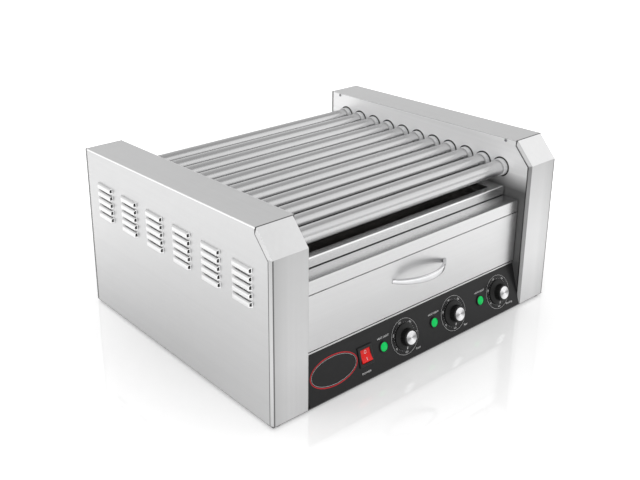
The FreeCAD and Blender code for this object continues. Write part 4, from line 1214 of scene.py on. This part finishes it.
@dataclass
class LouvreEndShades(SubAssembly):
    """Painted shade: dark patches at the front ends of the louvres, where shadow falls in the hoods'
    ends.

    columns and rows are the first place, the step and the number; hood how far
    it stands out, its height and the length of its slope.
    """

    columns: tuple[float, float, int] = (156.2 * MM, -70.0 * MM, 6)
    rows: tuple[float, float, int] = (222.0 * MM, -12.0 * MM, 5)
    hood: Three = (4.0 * MM, 8.5 * MM, 2.5 * MM)
    share: float = 0.66
    lift: float = 0.08 * MM
    housing: float = 63.5 * MM
    arc_steps: int = 9

    def make(self) -> None:
        """Make the thirty painted shade patches of each side as one piece.

        A patch is the hood's outline, a quarter of an ellipse with a flat foot,
        drawn in towards its middle, on the slope of the hood's end.
        """
        proud, tall, taper = self.hood
        side = float(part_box("inner_wall_right")[0][0]) + self.housing
        turn = np.linspace(0, np.pi / 2, self.arc_steps)
        out = np.concatenate([proud * np.sin(turn), [proud, 0.0]])
        down = np.concatenate([-tall / 2 * (1 - np.cos(turn)), [-tall, -tall]])
        out = out.mean() + (out - out.mean()) * self.share
        down = down.mean() + (down - down.mean()) * self.share
        shade_patch = np.stack([out, out * taper / proud - self.lift, down], axis=-1)
        y = self.columns[0] + self.columns[1] * np.arange(self.columns[2])
        z = self.rows[0] + self.rows[1] * np.arange(self.rows[2])
        place = np.stack(np.meshgrid([side], y, z, indexing="ij"), axis=-1).reshape(-1, 1, 3)
        for name, sign in HOUSING_SIDES:
            points = (shade_patch[None] + place) * np.array([sign, 1.0, 1.0])
            faces = np.arange(points.shape[0] * len(shade_patch)).reshape(-1, len(shade_patch))[:, ::sign]
            piece = piece_from(f"louvre_end_shades_{name}", points, faces, smooth=False)
            settle(piece, SHADE, "chassis")


@dataclass
class CollarShadeRings(SubAssembly):
    """Painted shade: flat black rings between each bush collar and the inner wall, where the gap round
    the collar lies in shadow.
    """

    radii: Two = (14.15 * MM, 16.4 * MM)
    thick: float = 0.4 * MM
    steps: int = 48

    def make(self) -> None:
        """Make the eleven rings of each wall as one piece."""
        boxes = np.array([[list(c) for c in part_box(o.name)] for o in self.frame.nodes("roller_tube")])
        centres = boxes.mean(axis=1)[:, 1:]
        shift = np.concatenate([np.zeros((len(centres), 1)), centres], axis=1)[:, None, :]
        inner, outer = self.radii
        far = float(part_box("inner_wall_right")[0][0])
        near = far - self.thick
        profile = np.array([[inner, near], [outer, near], [outer, far], [inner, far]])
        y, z, x = turned_points(profile, self.steps).T
        for side, sign in HOUSING_SIDES:
            points = rows_of(sign * x, y, z) + shift
            quads = grid_faces(len(profile), self.steps, True, True)[:, :: -sign]
            faces = quads[None] + (np.arange(len(centres)) * points.shape[1])[:, None, None]
            piece = piece_from(f"collar_shade_rings_{side}", points, faces.reshape(-1, 4), smooth=False)
            settle(piece, COLLAR_SHADE, "chassis")


# ----------------------------------------------------------------------- studio
@dataclass(frozen=True)
class StudioPaint(Finish):
    """Pale floor that keeps the grill's shadow and a faint gloss.

    What the camera, gloss and glass see of it glows less near the grill, a painted
    shade round it: fade is where that starts and ends, and glow the strength at both.
    """

    label: str = "studio floor"
    colour: Colour = (0.86, 0.86, 0.86)
    fade: Two = (0.3, 0.68)
    glow: Two = (0.27, 0.82)

    def shade(self, tree: Tree) -> Socket:
        """Glossy paint, with a glow added for the rays that see it."""
        sheet = tree.add(
            "BsdfPrincipled", Base_Color=(*self.colour, 1.0), Roughness=0.03, IOR=1.6,
            Specular_IOR_Level=0.9,
        ).outputs[0]
        away = tree.add("VectorMath", {"operation": "LENGTH"}, i0=tree.place()).outputs["Value"]
        glow = tree.add("Emission", Color=(*WHITE, 1.0), Strength=tree.ramp(away, *self.fade, *self.glow))
        light = tree.add("AddShader", i0=sheet, i1=glow.outputs[0])
        return tree.add("MixShader", i0=tree.seen(), i1=sheet, i2=light.outputs[0]).outputs[0]


@dataclass
class Studio:
    """Pale sweep, soft lights and the camera.

    The white surroundings dim with height: sky_fade is where that starts and
    ends, and sky the strength at both.
    """

    camera_at: Vector = field(default_factory=lambda: Vector((-0.922, -1.041, 0.749)))
    heading: float = 41.31
    down: float = 20.54
    roll: float = 0.48
    lens: float = 52.5
    sensor: float = 36.0
    shift: float = -70 / 640
    floor_half: float = 6.0
    sky_fade: Two = (0.3, 0.95)
    sky: Two = (1.0, 0.55)
    sky_light: float = 0.5
    aim: Vector = field(default_factory=lambda: Vector((0.0, 0.0, 0.12)))

    def make(self) -> None:
        """Build the floor, the lights, the world and the camera."""
        self._camera()
        self._floor()
        self._world()
        self._lights()
        bpy.context.scene.view_settings.view_transform = "Standard"

    def _camera(self) -> None:
        """Camera at its place, turned by heading, downward tilt and roll."""
        data = bpy.data.cameras.new("camera")
        data.lens, data.sensor_width, data.shift_y = self.lens, self.sensor, self.shift
        camera = linked("camera", data)
        a, e = math.radians(self.heading), math.radians(self.down)
        ahead = Vector((math.sin(a) * math.cos(e), math.cos(a) * math.cos(e), -math.sin(e)))
        turn = ahead.to_track_quat("-Z", "Y") @ Quaternion((0, 0, 1), math.radians(self.roll))
        camera.rotation_mode = "QUATERNION"
        camera.rotation_quaternion = turn
        camera.location = self.camera_at
        bpy.context.scene.camera = camera

    def _floor(self) -> None:
        """Wide pale floor, not part of the grill."""
        h = self.floor_half
        points = np.array([[-h, -h, 0], [h, -h, 0], [h, h, 0], [-h, h, 0]])
        floor = piece_from("studio_floor", points, [(0, 1, 2, 3)], smooth=False)
        StudioPaint().dress([floor])

    def _world(self) -> None:
        """White surroundings for the camera and for gloss, softer ones for light."""
        world = bpy.data.worlds.new("studio world")
        world.use_nodes = True
        bpy.context.scene.world = world
        tree = Tree(world.node_tree)
        output = tree.add("OutputWorld")
        height = tree.add("SeparateXYZ", Vector=tree.add("TexCoord").outputs["Generated"]).outputs["Z"]
        strength = tree.add("Mix", {"data_type": "FLOAT"}, i0=tree.seen(), i2=self.sky_light)
        tree.feed(strength, 3, tree.ramp(height, *self.sky_fade, *self.sky))
        back = tree.add("Background", Color=(*WHITE, 1.0), Strength=strength.outputs[0])
        tree.feed(output, "Surface", back.outputs[0])

    def _lights(self) -> None:
        """Three large soft lamps aimed at the grill."""
        lamps = (
            ("key_lamp", (1.7, -1.15, 1.75), 1.9, 7.5),
            ("fill_lamp", (-1.9, -1.0, 1.5), 1.6, 15.0),
            ("top_lamp", (-0.2, 0.9, 2.3), 1.6, 5.0),
        )
        for name, place, size, power in lamps:
            data = bpy.data.lights.new(name, "AREA")
            data.size, data.energy = size, power
            lamp = linked(name, data)
            lamp.location = place
            lamp.rotation_mode = "QUATERNION"
            lamp.rotation_quaternion = (self.aim - Vector(place)).to_track_quat("-Z", "Y")


def corners(box: Sequence[Vector]) -> list[list[float]]:
    """A box's two corners as plain lists."""
    return [list(map(float, corner)) for corner in box]


def main() -> None:
    """Build the classes in order."""
    logging.basicConfig(level=logging.INFO, format="%(name)s: %(message)s")
    frame = Frame(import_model())
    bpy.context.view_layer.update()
    Studio().make()
    for group in (Body, PanelPrint, Badge, Knobs, RockerMarks, HandleBar, LouvreEndShades, CollarShadeRings):
        group(frame).make()


if __name__ == "__main__":
    main()
